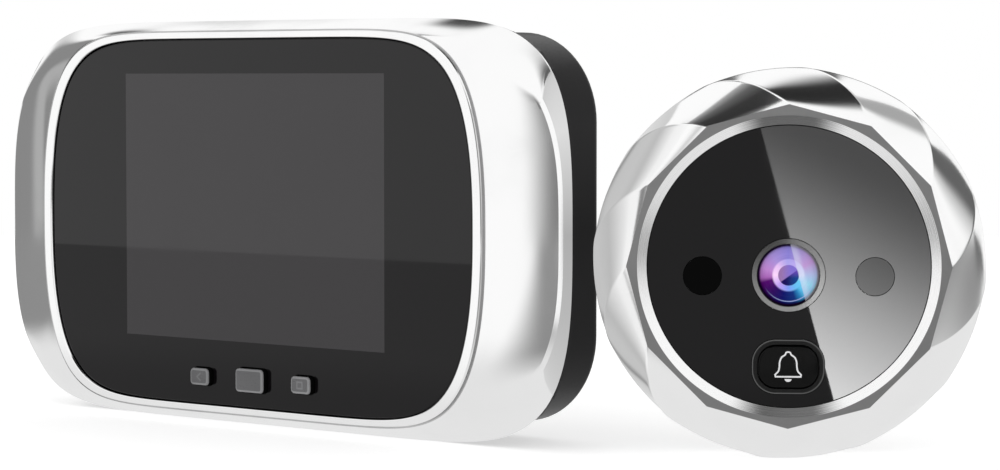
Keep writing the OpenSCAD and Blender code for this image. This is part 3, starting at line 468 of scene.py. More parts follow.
hole_w, hole_h = window_w + 2 * FIT, window_h + 2 * FIT
lip_w, lip_h = hole_w + 2 * LIP_SIDE, hole_h + 2 * LIP_TOP
crease_w, crease_h = bezel_w - 2 * CREASE_INSET, (lip_h + bezel_h) / 2
inside_w = bezel_w - 2 * (RIM_DRAW + BACK_WALL)
inside_h = bezel_h - 2 * (RIM_DRAW / 2 + BACK_WALL)
bezel_back = bezel_low[2]
lip_foot, rim_z = window_front - FOOT_DEPTH, window_front - RIM_DEPTH
ledge = window_front - LEDGE_DEPTH
rim = outline(bezel_w, bezel_h, RIM_POWER)
back = outline(bezel_w - 2 * RIM_DRAW, bezel_h - RIM_DRAW, RIM_POWER)
inside = outline(inside_w, inside_h, RIM_POWER)
print("lip", np.round([lip_w, lip_h], 2), "crease", np.round([crease_w, crease_h], 2))


# %% Rings of the chrome bezel
def blend(first, second, share):
    return first + (second - first) * share


def lip_ring(share, rise):
    ring = outline(blend(hole_w, lip_w, share), blend(hole_h, lip_h, share), WINDOW_POWER)
    return at_height(ring, window_front + LIP_RISE * rise)


def wing_height(x, share):
    """Height of the wing over the distance to the side, share of the way from the lip to the crease."""
    side = np.clip(2 * abs(x) - lip_w, 0, None) / (crease_w - lip_w)
    return window_front - WING_FALL * share - (CREASE_DEPTH - WING_FALL) * side**WING_BOW


def wing_ring(share):
    ring = outline(
        blend(lip_w + 2 * FOOT_W, crease_w, share),
        blend(lip_h + 2 * FOOT_W, crease_h, share),
        blend(WINDOW_POWER, RIM_POWER, share),
        blend(BULGE, CREASE_BULGE, share),
    )
    return at_height(ring, wing_height(ring[:, 0], share), bezel_drop * share)


def band_ring(share):
    """Ring of the band that rolls from the crease to the widest line, bowed a little outwards."""
    crease = wing_ring(1.0)
    fall = (1 - BAND_ROLL) * share + BAND_ROLL * share**2
    flat = blend(crease[:, :2], at_height(rim, 0, bezel_drop)[:, :2], share)
    return np.column_stack([flat, blend(crease[:, 2], rim_z, fall)])


def soften(rings, where, rounds=200):
    """Evens out the fold across the rings where the weight is one, and leaves it where it is nought."""
    rings = np.array(rings)
    for _ in range(rounds):
        rings[1:-1] += where[:, None] * ((rings[:-2] + rings[2:]) / 2 - rings[1:-1]) / 2
    return list(rings)


wing_ends = wing_height(np.array([lip_w, crease_w]) / 2, np.array([0, 1]))
print("wing at the lip and at the crease, mm:", np.round(wing_ends, 2))

# %% Chrome bezel
wing_rings = [wing_ring(share) for share in WING_SHARES] + [band_ring(share) for share in BAND_SHARES]
from_side = abs(wing_rings[len(WING_SHARES)][:, 0])
crease_left = np.clip((from_side - CREASE_GONE) / (CREASE_FULL - CREASE_GONE), 0, 1)
bezel_rings = [
    at_height(outline(hole_w, hole_h, WINDOW_POWER), ledge),
    *[lip_ring(share, rise) for share, rise in LIP_PROFILE],
    at_height(outline(lip_w, lip_h, WINDOW_POWER), lip_foot),
    np.minimum(wing_ring(0.0), [np.inf, np.inf, lip_foot]),
    *soften(wing_rings, 1 - crease_left),
    at_height(blend(rim, back, SKIRT_DRAW), (rim_z + bezel_back) / 2, bezel_drop),
    at_height(back, bezel_back, bezel_drop),
    at_height(inside, bezel_back, bezel_drop),
    at_height(inside, window_front - INSIDE_DEPTH, bezel_drop),
    at_height(outline(lip_w + 2 * LIP_SIDE, lip_h - LIP_TOP, WINDOW_POWER), ledge),
]
# The three strips that follow the lip make its groove, whose darker chrome is painted shade
past_lip = np.arange(len(bezel_rings)) - len(LIP_PROFILE)
in_groove = np.repeat((past_lip >= 0) & (past_lip <= 2), len(rim))
bezel_parts = [(*skin(bezel_rings, closed=True), in_groove)]
bezel_mesh = build_mesh("chrome_bezel", monitor_place, bezel_parts, crisp=12)
add_piece("chrome_bezel", bezel_mesh, [chrome, chrome_groove_shade], "monitor", "front_bezel")

# %% [markdown]
# ## The black window and the screen behind it
#
# One sheet of black gloss plastic carries the clear field of the screen and lets the keys through. A
# boolean would do, but it leaves slivers. A constrained triangulation takes the outline, the key
# openings and the screen's border as fixed edges instead, so the screen gets its own faces and its own
# finish with a crisp edge.


# %% Rounded rectangles
def rounded_loop(width, height, radius, steps=8):
    """Closed ring of points on a rounded rectangle, anticlockwise from the right."""
    points = []
    for corner, (sx, sy) in enumerate(((1, 1), (-1, 1), (-1, -1), (1, -1))):
        for angle in np.radians(90 * corner + np.linspace(0, 90, steps + 1)):
            x = sx * (width / 2 - radius) + radius * math.cos(angle)
            y = sy * (height / 2 - radius) + radius * math.sin(angle)
            points.append((x, y))
    return np.array(points)


KEY_NODES = ["key_back", "key_power", "key_menu"]
KEY_FLANGE, KEY_SLIDE, KEY_RADIUS = 0.6, 0.2, 0.7
key_boxes = [drawn_box(name, monitor_place) for name in KEY_NODES]
key_centres = [(low + high)[:2] / 2 for low, high in key_boxes]
key_sizes = [(high - low)[:2] - 2 * KEY_FLANGE for low, high in key_boxes]
print("keys:", [tuple(np.round(size, 2)) for size in key_sizes])

# %% Faces and walls of the window
SCREEN_W, SCREEN_H = 57.6, 43.2
EDGE_ROLL, WELD, SNAP = 0.2, 0.0005, 1e-6
INSIDE_ONLY = 1
ROLL_TURNS = np.radians([0, 30, 60, 90])
FLAT_FACE = 0.999
lcd_low, lcd_high = drawn_box("lcd_panel", monitor_place)
screen_centre = (lcd_low + lcd_high)[:2] / 2
screen_half = np.array([SCREEN_W, SCREEN_H]) / 2
screen_loop = screen_centre + screen_half * [(1, 1), (-1, 1), (-1, -1), (1, -1)]
key_holes = [
    centre + rounded_loop(*(size + 2 * KEY_SLIDE), KEY_RADIUS + KEY_SLIDE)
    for centre, size in zip(key_centres, key_sizes)
]


def inside_box(point, centre, half):
    return bool((abs(np.asarray(point) - centre) < half).all())


def fill_face(edge, z):
    """Points and triangles of the window's face within an edge, sorted into black and screen faces."""
    loops = [edge, *key_holes, screen_loop]
    points = [Vector(p) for loop in loops for p in loop]
    edges, first = [], 0
    for loop in loops:
        edges += [(first + i, first + (i + 1) % len(loop)) for i in range(len(loop))]
        first += len(loop)
    flat, _, triangles, *_ = delaunay_2d_cdt(points, edges, [list(range(len(edge)))], INSIDE_ONLY, SNAP)
    black, screen = [], []
    for triangle in triangles:
        middle = sum((np.array(flat[i]) for i in triangle), np.zeros(2)) / len(triangle)
        if any(inside_box(middle, c, s / 2 + KEY_SLIDE) for c, s in zip(key_centres, key_sizes)):
            continue
        (screen if inside_box(middle, screen_centre, screen_half) else black).append(tuple(triangle))
    return np.array([(p[0], p[1], z) for p in flat]), black, screen


def wall(rings):
    points, faces = skin(rings)
    return points, faces[:-2], 0


def roll_ring(turn):
    """Ring of the window's rolled edge, which turns from the wall into the face."""
    inset = EDGE_ROLL * (1 - math.cos(turn))
    ring = outline(window_w - 2 * inset, window_h - 2 * inset, WINDOW_POWER)
    return at_height(ring, window_front - EDGE_ROLL * (1 - math.sin(turn)))


print("openings for keys:", len(key_holes))

# %% Black window
window_outer = outline(window_w, window_h, WINDOW_POWER)
face_edge = outline(window_w - 2 * EDGE_ROLL, window_h - 2 * EDGE_ROLL, WINDOW_POWER)
front_points, black_faces, screen_faces = fill_face(face_edge, window_front)
back_points, back_black, back_screen = fill_face(window_outer, window_back)
window_parts = [
    (front_points, black_faces, 0),
    (front_points, screen_faces, 1),
    wall([at_height(window_outer, window_back), *[roll_ring(turn) for turn in ROLL_TURNS]]),
    (back_points, back_black + back_screen, 0),
    *[wall([at_height(hole, z) for z in (window_back, window_front)]) for hole in key_holes],
]
window_mesh = build_mesh("black_window", monitor_place, window_parts, crisp=40, weld=WELD)
for polygon in window_mesh.polygons:
    polygon.use_smooth = abs(polygon.normal.y) < FLAT_FACE
window_finishes = [window_black, screen_glass]
black_window = add_piece(
    "black_window", window_mesh, window_finishes, "monitor", "front_window"
)

# %% [markdown]
# ## Signs drawn as ribbons
#
# The keys carry faint signs and the bell button a bell. They are printed on the real thing. Here each
# is a thin ribbon set into the cap, a skin over small cross sections along a line of points, so it
# keeps its edge at any zoom and exports as a shape.


# %% Ribbon helpers
MITRE_LIMIT = 0.4


def unit(vectors):
    return vectors / np.linalg.norm(vectors, axis=1)[:, None]


def ribbon(line, width, low, high, closed=False):
    """Flat ribbon of the given width along a line, between two heights."""
    line = np.asarray(line, float)
    ahead = np.roll(line, -1, 0) - line
    behind = line - np.roll(line, 1, 0)
    if not closed:
        ahead[-1], behind[0] = behind[-1], ahead[0]
    ahead, behind = unit(ahead), unit(behind)
    along = unit(ahead + behind)
    across = np.stack([-along[:, 1], along[:, 0]], -1)
    reach = width / 2 / np.clip((along * ahead).sum(1), MITRE_LIMIT, 1)
    left, right = line + across * reach[:, None], line - across * reach[:, None]
    borders = [at_height(left, low), at_height(right, low), at_height(right, high), at_height(left, high)]
    return skin(np.stack(borders, 1), closed)


def smooth_line(points, steps=6):
    """Catmull-Rom curve through an open line of points."""
    points = np.asarray(points, float)
    padded = np.concatenate([[2 * points[0] - points[1]], points, [2 * points[-1] - points[-2]]])
    curve = []
    for i in range(len(points) - 1):
        p0, p1, p2, p3 = padded[i : i + 4]
        for t in np.arange(steps) / steps:
            bend = 2 * p0 - 5 * p1 + 4 * p2 - p3
            twist = 3 * p1 - p0 - 3 * p2 + p3
            curve.append((2 * p1 + (p2 - p0) * t + bend * t**2 + twist * t**3) / 2)
    return np.array(curve + [points[-1]])


print("a straight ribbon has", len(ribbon([(0, 0), (1, 0)], 0.2, 0, 0.1)[1]), "faces")

# %% [markdown]
# ## Keys
#
# Each key is a small soft-edged cap with a flange that keeps it behind the window. The roll along its
# top edge catches light, and a lighter copy of the key's grey on it adds a painted highlight for the
# light rim in the picture; the sides and the flange get a near-black copy, which is painted shade. The
# signs are a chevron and a small square; the middle key is plain.

# %% Keys
KEY_ROLL, SIGN_DEPTH, SIGN_W = 0.35, 0.03, 0.26
KEY_FLANGE_T = 0.9
CAP_TURNS = np.radians([22.5, 45, 67.5, 90])
# Faces of a key: top, sign, rim with painted highlight, sides with painted shade
FACE, SIGN, LIT_RIM, SHADED_SIDE = range(4)
KEY_FINISHES = [key_grey, key_sign, key_rim_highlight, key_side_shade]
KEY_SIGNS = {
    "key_back": ([(0.45, 0.62), (-0.4, 0), (0.45, -0.62)], False),
    "key_menu": ([(0.55, 0.5), (-0.55, 0.5), (-0.55, -0.5), (0.55, -0.5)], True),
}


def soft_cap(size, radius, flange, flange_t, roll, low, high, centre):
    """Rings of a cap with a retaining flange and a rolled top edge."""
    rings = [at_height(rounded_loop(*(size + 2 * flange), radius), z) for z in (low, low + flange_t)]
    rings += [at_height(rounded_loop(*size, radius), z) for z in (low + flange_t, high - roll)]
    for turn in CAP_TURNS:
        inset = roll * (1 - math.cos(turn))
        loop = rounded_loop(*(size - 2 * inset), radius - inset)
        rings.append(at_height(loop, high - roll * (1 - math.sin(turn))))
    return [ring + [*centre, 0] for ring in rings]


for name, (low, high), centre, size in zip(KEY_NODES, key_boxes, key_centres, key_sizes):
    top = high[2] - SIGN_DEPTH / 2
    rings = soft_cap(size, KEY_RADIUS, KEY_FLANGE, KEY_FLANGE_T, KEY_ROLL, low[2], top, centre)
    strips = [SHADED_SIDE] * 3 + [LIT_RIM] * (len(rings) - 4)
    parts = [(*skin(rings), [*np.repeat(strips, len(rings[0])), SHADED_SIDE, FACE])]
    if name in KEY_SIGNS:
        line, closed = KEY_SIGNS[name]
        points, faces = ribbon(line, SIGN_W, top - SIGN_DEPTH, high[2], closed)
        parts.append((points + [*centre, 0], faces, SIGN))
    key_mesh = build_mesh(name, monitor_place, parts)
    add_piece(name + "_cap", key_mesh, KEY_FINISHES, name, name)

# %% [markdown]
# ## The twisted bezel of the camera
#
# This is the piece that takes the most thought. From a flat twelve-sided ring, twelve ridges run
# outwards and round, and each facet between them twists as it falls back. The shape follows a rule, so
# a Geometry Nodes tree makes it: the profile is a line whose points carry a radius, a height, how flat
# the sides are and a turn. The tree lays a grid over profile and bearing and sets each point from those
# four numbers.

# %% Geometry tree for the twisted bezel
TREE_INPUTS = {
    "Geometry": "Geometry",
    "Rows": "Int",
    "Columns": "Int",
    "Facets": "Int",
    "Facet finish": "Material",
    "Ring finish": "Material",
    "Bevel finish": "Material",
}
MERGE, BEVEL_ROW, RING_ROW, ROW_SLACK = 0.0005, 1.5, 2.5, 0.1
twist_tree = bpy.data.node_groups.new("twisted_bezel", "GeometryNodeTree")
for label, kind in TREE_INPUTS.items():
    twist_tree.interface.new_socket(label, in_out="INPUT", socket_type="NodeSocket" + kind)
twist_tree.interface.new_socket("Geometry", in_out="OUTPUT", socket_type="NodeSocketGeometry")
given = fields(twist_tree.nodes.new("NodeGroupInput"))
print("tree inputs:", list(TREE_INPUTS))


# %% Helpers for the tree
def stored(label):
    """A number that each point carries."""
    return field(twist_tree, "GeometryNodeInputNamedAttribute", {"Name": label}, data_type="FLOAT")


def profile_value(label):
    """A number that the profile's point of this row carries."""
    inputs = {"Geometry": given["Geometry"], "Value": stored(label), "Index": row}
    return field(twist_tree, "GeometryNodeSampleIndex", inputs, data_type="FLOAT")


def change(kind, **inputs):
    """Adds a geometry node and returns what it makes; an underscore in a name stands for a space."""
    inputs = {label.replace("_", " "): value for label, value in inputs.items()}
    return field(twist_tree, "GeometryNode" + kind, inputs)


# %% Where each point goes
around = given["Columns"] + 1.0
index = field(twist_tree, "GeometryNodeInputIndex")
row = (index / around).math("FLOOR")
share = (index - row * around) / given["Columns"]
facet_share = (share * given["Facets"]).math("FRACT")
half_facet = field(twist_tree, "ShaderNodeMath", {0: math.pi, 1: given["Facets"]}, operation="DIVIDE")
from_middle = (facet_share * 2.0 - 1.0) * half_facet
chord = half_facet.math("COSINE") / from_middle.math("COSINE")
radius = profile_value("radius") * ((chord - 1.0) * profile_value("sides") + 1.0)
bearing = share * math.tau + profile_value("turn")
sideways, upwards = radius * bearing.math("COSINE"), radius * bearing.math("SINE")
on_ring = vector(sideways, upwards, profile_value("height"))
print("nodes that place a point:", len(twist_tree.nodes))

# %% Grid and finishes of the tree
shape = change("MeshGrid", Vertices_X=given["Rows"], Vertices_Y=around)
shape = change("StoreNamedAttribute", Geometry=shape, Name="row", Value=row)
shape = change("SetPosition", Geometry=shape, Position=on_ring)
shape = change("MergeByDistance", Geometry=shape, Distance=MERGE)
shape = change("RealizeInstances", Geometry=shape)
shape = change("SetMaterial", Geometry=shape, Material=given["Facet finish"])
for label, place_in_profile in (("Ring finish", RING_ROW), ("Bevel finish", BEVEL_ROW)):
    here = stored("row").math("COMPARE", place_in_profile, ROW_SLACK)
    shape = change("SetMaterial", Geometry=shape, Material=given[label], Selection=here)
node(twist_tree, "NodeGroupOutput", {"Geometry": shape})
print("tree", twist_tree.name, "has", len(twist_tree.nodes), "nodes")


# %% Run a tree on a mesh
def grow(tree, seed, values):
    """Evaluates a tree on a seed mesh with inputs given by name, and returns the result as a plain mesh."""
    grower = add_object("grower", seed)
    modifier = grower.modifiers.new("tree", "NODES")
    modifier.node_group = tree
    for item in tree.interface.items_tree:
        if item.in_out == "INPUT" and item.name in values:
            modifier[item.identifier] = values[item.name]
    graph = bpy.context.evaluated_depsgraph_get()
    mesh = bpy.data.meshes.new_from_object(grower.evaluated_get(graph))
    grower.modifiers.remove(modifier)
    bpy.data.objects.remove(grower)
    return mesh


# %% [markdown]
# The flat ring is plated satin and looks grey from every side. The bevel inside it is turned on a
# lathe, and the two dark arcs at its top and its foot are a painted reflection: its colour goes dark
# there, with lighter grooves, where a turned surface would fan the light. A Mapping node gives its
# finish the camera's own drawing board, and the painted arcs follow from the bearing on it.


# %% Coordinates on the drawing board
def board_coords(coords, centre):
    """Millimetres to the right of a centre on the camera's drawing board, and up from it."""
    middle = camera_place @ Vector(centre)
    inputs = {"Vector": coords, "Location": middle, "Rotation": (0, 0, camera_turn), "Scale": (MM, MM, MM)}
    right, _, up = axes(field(coords.tree, "ShaderNodeMapping", inputs, vector_type="TEXTURE"))
    return right, up


def from_centre(right, up):
    return (right * right + up * up).math("SQRT")


def ramp(value, stops):
    """Colour ramp with a colour for each bearing in degrees, over a value that goes once round."""
    made = node(value.tree, "ShaderNodeValToRGB", {0: value})
    elements = made.color_ramp.elements
    while len(elements) < len(stops):
        elements.new(0.5)
    for element, (degrees, colour) in zip(elements, stops):
        element.position = degrees / 360
        element.color = (*colour, 1)
    return Field(made.outputs[0])


print("middle of the camera's board, mm:", in_mm([camera_place.translation])[0])

# %% Turned finishes, with painted dark arcs
GROOVE_SCALE, GROOVE_SPREAD, GROOVE_GLOSS = 9.0, 0.18, (0.18, 0.32)
PAINTED_ARC_EDGE, ARC_PAINTED_SHADE, ARC_GROOVE, BEVEL_PALE = (0.25, 0.5), grey(0.03), grey(0.3), grey(0.95)
ring_satin = polished("ring_satin", grey(0.21), 1.0, 0.3, 0.42)
bevel_painted_arcs, shader, coords = finish("bevel_painted_arcs", Metallic=1.0)
right, up = board_coords(coords, (0, 0, 0))
distance = from_centre(right, up)
grooves = noise(vector(distance), GROOVE_SCALE, roughness=0.7)
# The dark arcs at the bevel's top and foot are a painted reflection, set by the bearing
bright = (grooves * GROOVE_SPREAD + abs(right) / distance).remap(*PAINTED_ARC_EDGE)
painted_arcs = bright.mix(grooves.mix(ARC_PAINTED_SHADE, ARC_GROOVE), BEVEL_PALE)
feed(shader, Base_Color=painted_arcs, Roughness=grooves.remap(*NOISE_SPREAD, *GROOVE_GLOSS))
print("turned bevel has", len(coords.tree.nodes), "nodes")

# %% [markdown]
# The profile starts at the hole for the face, climbs the wall, crosses the bright bevel and the flat
# ring, follows the facets out and back to the widest line, and returns along the skirt, the back edge
# and the inner wall. The last point lies on the first one, a whole facet further round, so the skin
# closes.

# %% Profile of the twisted bezel
FACETS, FACET_COLUMNS, TWIST_ROWS = 12, 36, 36
FIRST_SLOPE = math.radians(8)
BEVEL_W, TWIST_DEPTH, TWIST, ROUNDING = 1.35, 9.0, math.radians(26), 0.85
BACK_DRAW, CASE_MARGIN, SKIRT_FLAT = 1.0, 0.95, 0.05
WIDEST_R, FIRST_BEARING = 29.0, math.pi / 2
face_low, face_high = drawn_box("face_panel", camera_place)
twist_low, twist_high = drawn_box("twist_bezel", camera_place)
case_low, case_high = drawn_box("camera_case", camera_place)
face_front, face_back = face_high[2], face_low[2]
ring_front, twist_back = twist_high[2], twist_low[2]
hole_r = (face_high[0] - face_low[0]) / 2 + FIT
case_r = (case_high[0] - case_low[0]) / 2
seat_r = case_r + FIT
widest_z = ring_front - TWIST_DEPTH
back_turn = math.tau / FACETS


def facet_row(t):
    """Radius, height, flatness of the sides and turn, t of the way down the facets."""
    quarter = blend(FIRST_SLOPE, math.pi / 2, t)
    outwards = (math.sin(quarter) - math.sin(FIRST_SLOPE)) / (1 - math.sin(FIRST_SLOPE))
    downwards = 1 - math.cos(quarter) / math.cos(FIRST_SLOPE)
    radius = blend(case_r - CASE_MARGIN, WIDEST_R, outwards)
    return radius, ring_front - TWIST_DEPTH * downwards, 1 - ROUNDING * t**3, TWIST * t


profile = [
    (hole_r, face_back, 0, 0),
    (hole_r, face_front, 0, 0),
    (hole_r + BEVEL_W, ring_front, 0, 0),
    *[facet_row(t) for t in np.linspace(0, 1, TWIST_ROWS)],
    (WIDEST_R - BACK_DRAW / 4, (widest_z + twist_back) / 2, SKIRT_FLAT, (TWIST + back_turn) / 2),
    (WIDEST_R - BACK_DRAW, twist_back, 0, back_turn),
    (seat_r, twist_back, 0, back_turn),
    (seat_r, face_back, 0, back_turn),
    (hole_r, face_back, 0, back_turn),
]
profile_mesh = bpy.data.meshes.new("twist_profile")
profile_mesh.from_pydata([(i, 0, 0) for i in range(len(profile))], [], [])
columns = np.array(profile, np.float32).T + np.array([[0], [0], [0], [FIRST_BEARING]], np.float32)
for label, column in zip(("radius", "height", "sides", "turn"), columns):
    profile_mesh.attributes.new(label, "FLOAT", "POINT").data.foreach_set("value", column)
print("profile points:", len(profile))

# %% Twisted bezel
twist_values = {
    "Rows": len(profile),
    "Columns": FACETS * FACET_COLUMNS,
    "Facets": FACETS,
    "Facet finish": chrome_soft,
    "Ring finish": ring_satin,
    "Bevel finish": bevel_painted_arcs,
}
twist_mesh = grow(twist_tree, profile_mesh, twist_values)
made = bmesh.new()
made.from_mesh(twist_mesh)
finish_borders = [len({face.material_index for face in edge.link_faces}) > 1 for edge in made.edges]
settle(made, twist_mesh, camera_place, crisp=40)
for edge, border in zip(twist_mesh.edges, finish_borders):
    edge.use_edge_sharp = edge.use_edge_sharp or border
add_piece("twisted_bezel", twist_mesh, [], "door_side", "twist_bezel")

# %% [markdown]
# ## Lens, windows and bell button
#
# The lens is a coated dome: violet and blue reflections lie in rings round a dark pupil. Real glass
# would show mostly the dark barrel behind it, so these reflections are painted on the dome as its
# colour, by distance and bearing from the lens's own centre, which a Mapping node gives, under a clear
# glossy surface. The pupil is halved by a slanting line into a painted glint and a darker half, and
# right of a leaning streak everything is veiled by painted glare.

# %% Colours of the coating's painted reflections
# Bearing in degrees, anticlockwise from the right, with the reflected colour painted there
OUTER_REFLECTION = [
    (0, (0.42, 0.52, 0.82)), (30, (0.52, 0.28, 0.66)), (60, (0.42, 0.30, 0.70)), (90, (0.28, 0.24, 0.72)),
    (130, (0.42, 0.30, 0.74)), (165, (0.56, 0.26, 0.68)), (186, (0.42, 0.14, 0.50)),
    (196, (0.09, 0.002, 0.15)), (225, (0.03, 0.001, 0.11)), (255, (0.002, 0.004, 0.13)),
    (285, (0.004, 0.03, 0.20)), (298, (0.02, 0.22, 0.50)), (310, (0.10, 0.52, 0.84)),
    (335, (0.28, 0.70, 0.90)), (360, (0.42, 0.52, 0.82)),
]
HALO_REFLECTION = [
    (0, (0.62, 0.70, 0.95)), (60, (0.52, 0.42, 0.90)), (95, (0.46, 0.42, 0.92)),
    (140, (0.84, 0.56, 0.95)), (180, (1.0, 0.70, 1.0)), (225, (0.55, 0.36, 0.92)),
    (270, (0.22, 0.35, 0.95)), (300, (0.14, 0.52, 0.90)), (330, (0.15, 0.62, 0.92)),
    (360, (0.62, 0.70, 0.95)),
]
NAVY, TEAL, VIOLET = (0.008, 0.002, 0.10, 1), (0.008, 0.06, 0.26, 1), (0.13, 0.06, 0.46, 1)
MAUVE, LILAC, INDIGO = (0.33, 0.18, 0.42, 1), (0.24, 0.17, 0.66, 1), (0.08, 0.05, 0.3, 1)
ARC_REFLECTION_BLUE, GLARE_PALE = (0.45, 0.55, 0.95, 1), (0.78, 0.78, 0.95, 1)
RIM_DARK, RIM_GLARE = (0.012, 0.002, 0.03, 1), (0.27, 0.25, 0.28, 1)
PUPIL_EDGE, HALO_EDGE, RIM_EDGE = (1.44, 1.58), (2.15, 2.5), (4.0, 4.35)
# Limits between which one tone gives way to the next, and how much of it then shows
PUPIL_UP, PUPIL_RIGHT, PUPIL_LIGHT, GLINT_EDGE = (-0.5, 0.7), (-0.6, 1.4), (-1.3, 0.5), (-0.2, -0.04)
SWIRL_SCALE, SWIRL_EDGE, SWIRL_SHOWN = 5.0, (0.45, 0.8), (0.0, 0.15)
LOWER_LEAN, LOWER_EDGE, LOWER_SHOWN = 0.4, (0.2, 4.0), (0.0, 0.7)
STREAK_EDGE, GLARE_EDGE, GLARE_SHOWN = (-0.06, 0.06), (0.4, 1.3), (0.45, 0.1)
ARC_R, ARC_HALF = 3.85, 0.08
GLINT_TILT = math.radians(36)
STREAK_LEAN, STREAK_AT = 0.27, 1.45
lens_low, lens_high = drawn_box("front_lens", camera_place)
lens_centre = (lens_low + lens_high) / 2
lens_r = (lens_high[0] - lens_low[0]) / 2
print("lens radius", round(lens_r, 2), "mm")

# %% Coated lens with painted reflections
lens_painted_reflection, shader, coords = finish("lens_painted_reflection", Roughness=0.03, Specular_IOR_Level=0.07)
right, up = board_coords(coords, lens_centre)
distance = from_centre(right, up)
around_lens = (up.math("ARCTAN2", right) / math.tau + 1.0).math("FRACT")
glint_side = up * math.cos(GLINT_TILT) - right * math.sin(GLINT_TILT)
dark_half = up.remap(*PUPIL_UP).mix(right.remap(*PUPIL_RIGHT).mix(NAVY, TEAL), VIOLET)
light_half = right.remap(*PUPIL_LIGHT).mix(MAUVE, LILAC)
painted = glint_side.remap(*GLINT_EDGE).mix(dark_half, light_half)
painted = distance.remap(*PUPIL_EDGE).mix(painted, ramp(around_lens, HALO_REFLECTION))
painted = distance.remap(*HALO_EDGE).mix(painted, ramp(around_lens, OUTER_REFLECTION))
swirl = noise(vector(distance, around_lens), SWIRL_SCALE)
painted = swirl.remap(*SWIRL_EDGE, *SWIRL_SHOWN).mix(painted, INDIGO)
lower = (right * LOWER_LEAN - up).remap(*LOWER_EDGE, *LOWER_SHOWN)
painted = (distance.math("COMPARE", ARC_R, ARC_HALF) * lower).mix(painted, ARC_REFLECTION_BLUE)
past_streak = up * STREAK_LEAN + (right - STREAK_AT)
# Right of the leaning streak, painted glare veils the coating and lightens its rim
painted_glare = past_streak.remap(*STREAK_EDGE)
painted = distance.remap(*RIM_EDGE).mix(painted, painted_glare.mix(RIM_DARK, RIM_GLARE))
painted = (painted_glare * past_streak.remap(*GLARE_EDGE, *GLARE_SHOWN)).mix(painted, GLARE_PALE)
feed(shader, Base_Color=painted)
print("lens coating has", len(coords.tree.nodes), "nodes")

# %% [markdown]
# The bell button is a soft black cap in a thin surround. Its sign is a plain bell outline with a
# half-round clapper, the sign that doorbells everywhere carry.

# %% Bell button
BELL_FLANGE, BELL_FLANGE_T, BELL_RADIUS, BELL_ROLL = 0.42, 1.2, 2.6, 0.4
BELL_SIGN_W, CLAPPER_W, CLAPPER_DROP, CLAPPER_Y = 0.23, 0.5, 0.42, -1.75
HALF_BELL = [
    (0, 2.2), (0.3, 2.1), (0.45, 1.78), (0.95, 1.4),
    (1.22, 0.75), (1.27, 0.0), (1.42, -0.62), (1.88, -1.12),
]
BELL_FOOT = [(1.82, -1.42), (-1.82, -1.42)]
CLAPPER_POINTS = 13
bell_low, bell_high = drawn_box("bell_button", camera_place)
bell_centre = (bell_low + bell_high)[:2] / 2
bell_size = (bell_high - bell_low)[:2] - 2 * BELL_FLANGE
bell_top = bell_high[2] - SIGN_DEPTH / 2
sign_low = bell_top - SIGN_DEPTH
half = smooth_line(HALF_BELL)
bell_line = np.concatenate([half, BELL_FOOT, (half * [-1, 1])[:0:-1]])
turns = np.linspace(math.pi, math.tau, CLAPPER_POINTS)
clapper = np.column_stack([CLAPPER_W * np.cos(turns), CLAPPER_Y + CLAPPER_DROP * np.sin(turns)])
bell_rings = soft_cap(
    bell_size, BELL_RADIUS, BELL_FLANGE, BELL_FLANGE_T, BELL_ROLL, bell_low[2], bell_top, bell_centre
)
bell_parts = [(*skin(bell_rings), 0)]
for points, faces in (
    ribbon(bell_line, BELL_SIGN_W, sign_low, bell_high[2], closed=True),
    skin([at_height(clapper, z) for z in (sign_low, bell_high[2])]),
):
    bell_parts.append((points + [*bell_centre, 0], faces, 1))
button_black = polished("button_black", grey(0.0012), 0.0, 0.1, 0.2, Specular_IOR_Level=0.12)
sign_white = moulded("sign_white", (0.72, 0.72, 0.73, 1), 0.4, 5000.0, 0.000005, 0.05)
bell_mesh = build_mesh("bell_cap", camera_place, bell_parts)
add_piece("bell_cap", bell_mesh, [button_black, sign_white], "bell_button", "bell_button")

# %% [markdown]
# The ring round the lens is a dark moulding with a lighter front; painted light makes the front's colour
# lighter towards its foot.
# The button's surround is black with a thin lighter line along its rim, a painted highlight drawn by the
# distance from a rounded rectangle. The face and its two round windows are plain black gloss.

# %% Finishes of the camera's face
TRIM_EDGE, TRIM_FADE = (lens_r + 0.05, lens_r + 0.2), (5.0, -5.0)
TRIM_WALL, TRIM_TOP, TRIM_FOOT_PAINTED_LIGHT = grey(0.006), grey(0.04), grey(0.24)
SURROUND_FLANGE, SURROUND_RADIUS, HIGHLIGHT_W = 0.8, 3.45, 0.22
SURROUND_TONE, RIM_HIGHLIGHT_TONE = grey(0.003), grey(0.09)
lens_trim, shader, coords = finish("lens_trim", Roughness=0.12, Specular_IOR_Level=0.25)
right, up = board_coords(coords, lens_centre)
# Painted light: the front is darker at the top and lighter at the foot
trim_painted_light = up.remap(*TRIM_FADE).mix(TRIM_TOP, TRIM_FOOT_PAINTED_LIGHT)
feed(shader, Base_Color=from_centre(right, up).remap(*TRIM_EDGE).mix(TRIM_WALL, trim_painted_light))

surround_low, surround_high = drawn_box("button_surround", camera_place)
surround_half = (surround_high - surround_low)[:2] / 2 - SURROUND_FLANGE
surround_black, shader, coords = finish("surround_black", Roughness=0.3, Specular_IOR_Level=0.2)
right, up = board_coords(coords, (*bell_centre, 0))
past_sides = [
    (abs(value) - (half_size - SURROUND_RADIUS)).math("MAXIMUM", 0.0)
    for value, half_size in zip((right, up), surround_half)
]
# A thin painted highlight along the surround's rim
rim_highlight = from_centre(*past_sides).remap(SURROUND_RADIUS - HIGHLIGHT_W, SURROUND_RADIUS - HIGHLIGHT_W / 2)
feed(shader, Base_Color=rim_highlight.mix(SURROUND_TONE, RIM_HIGHLIGHT_TONE))

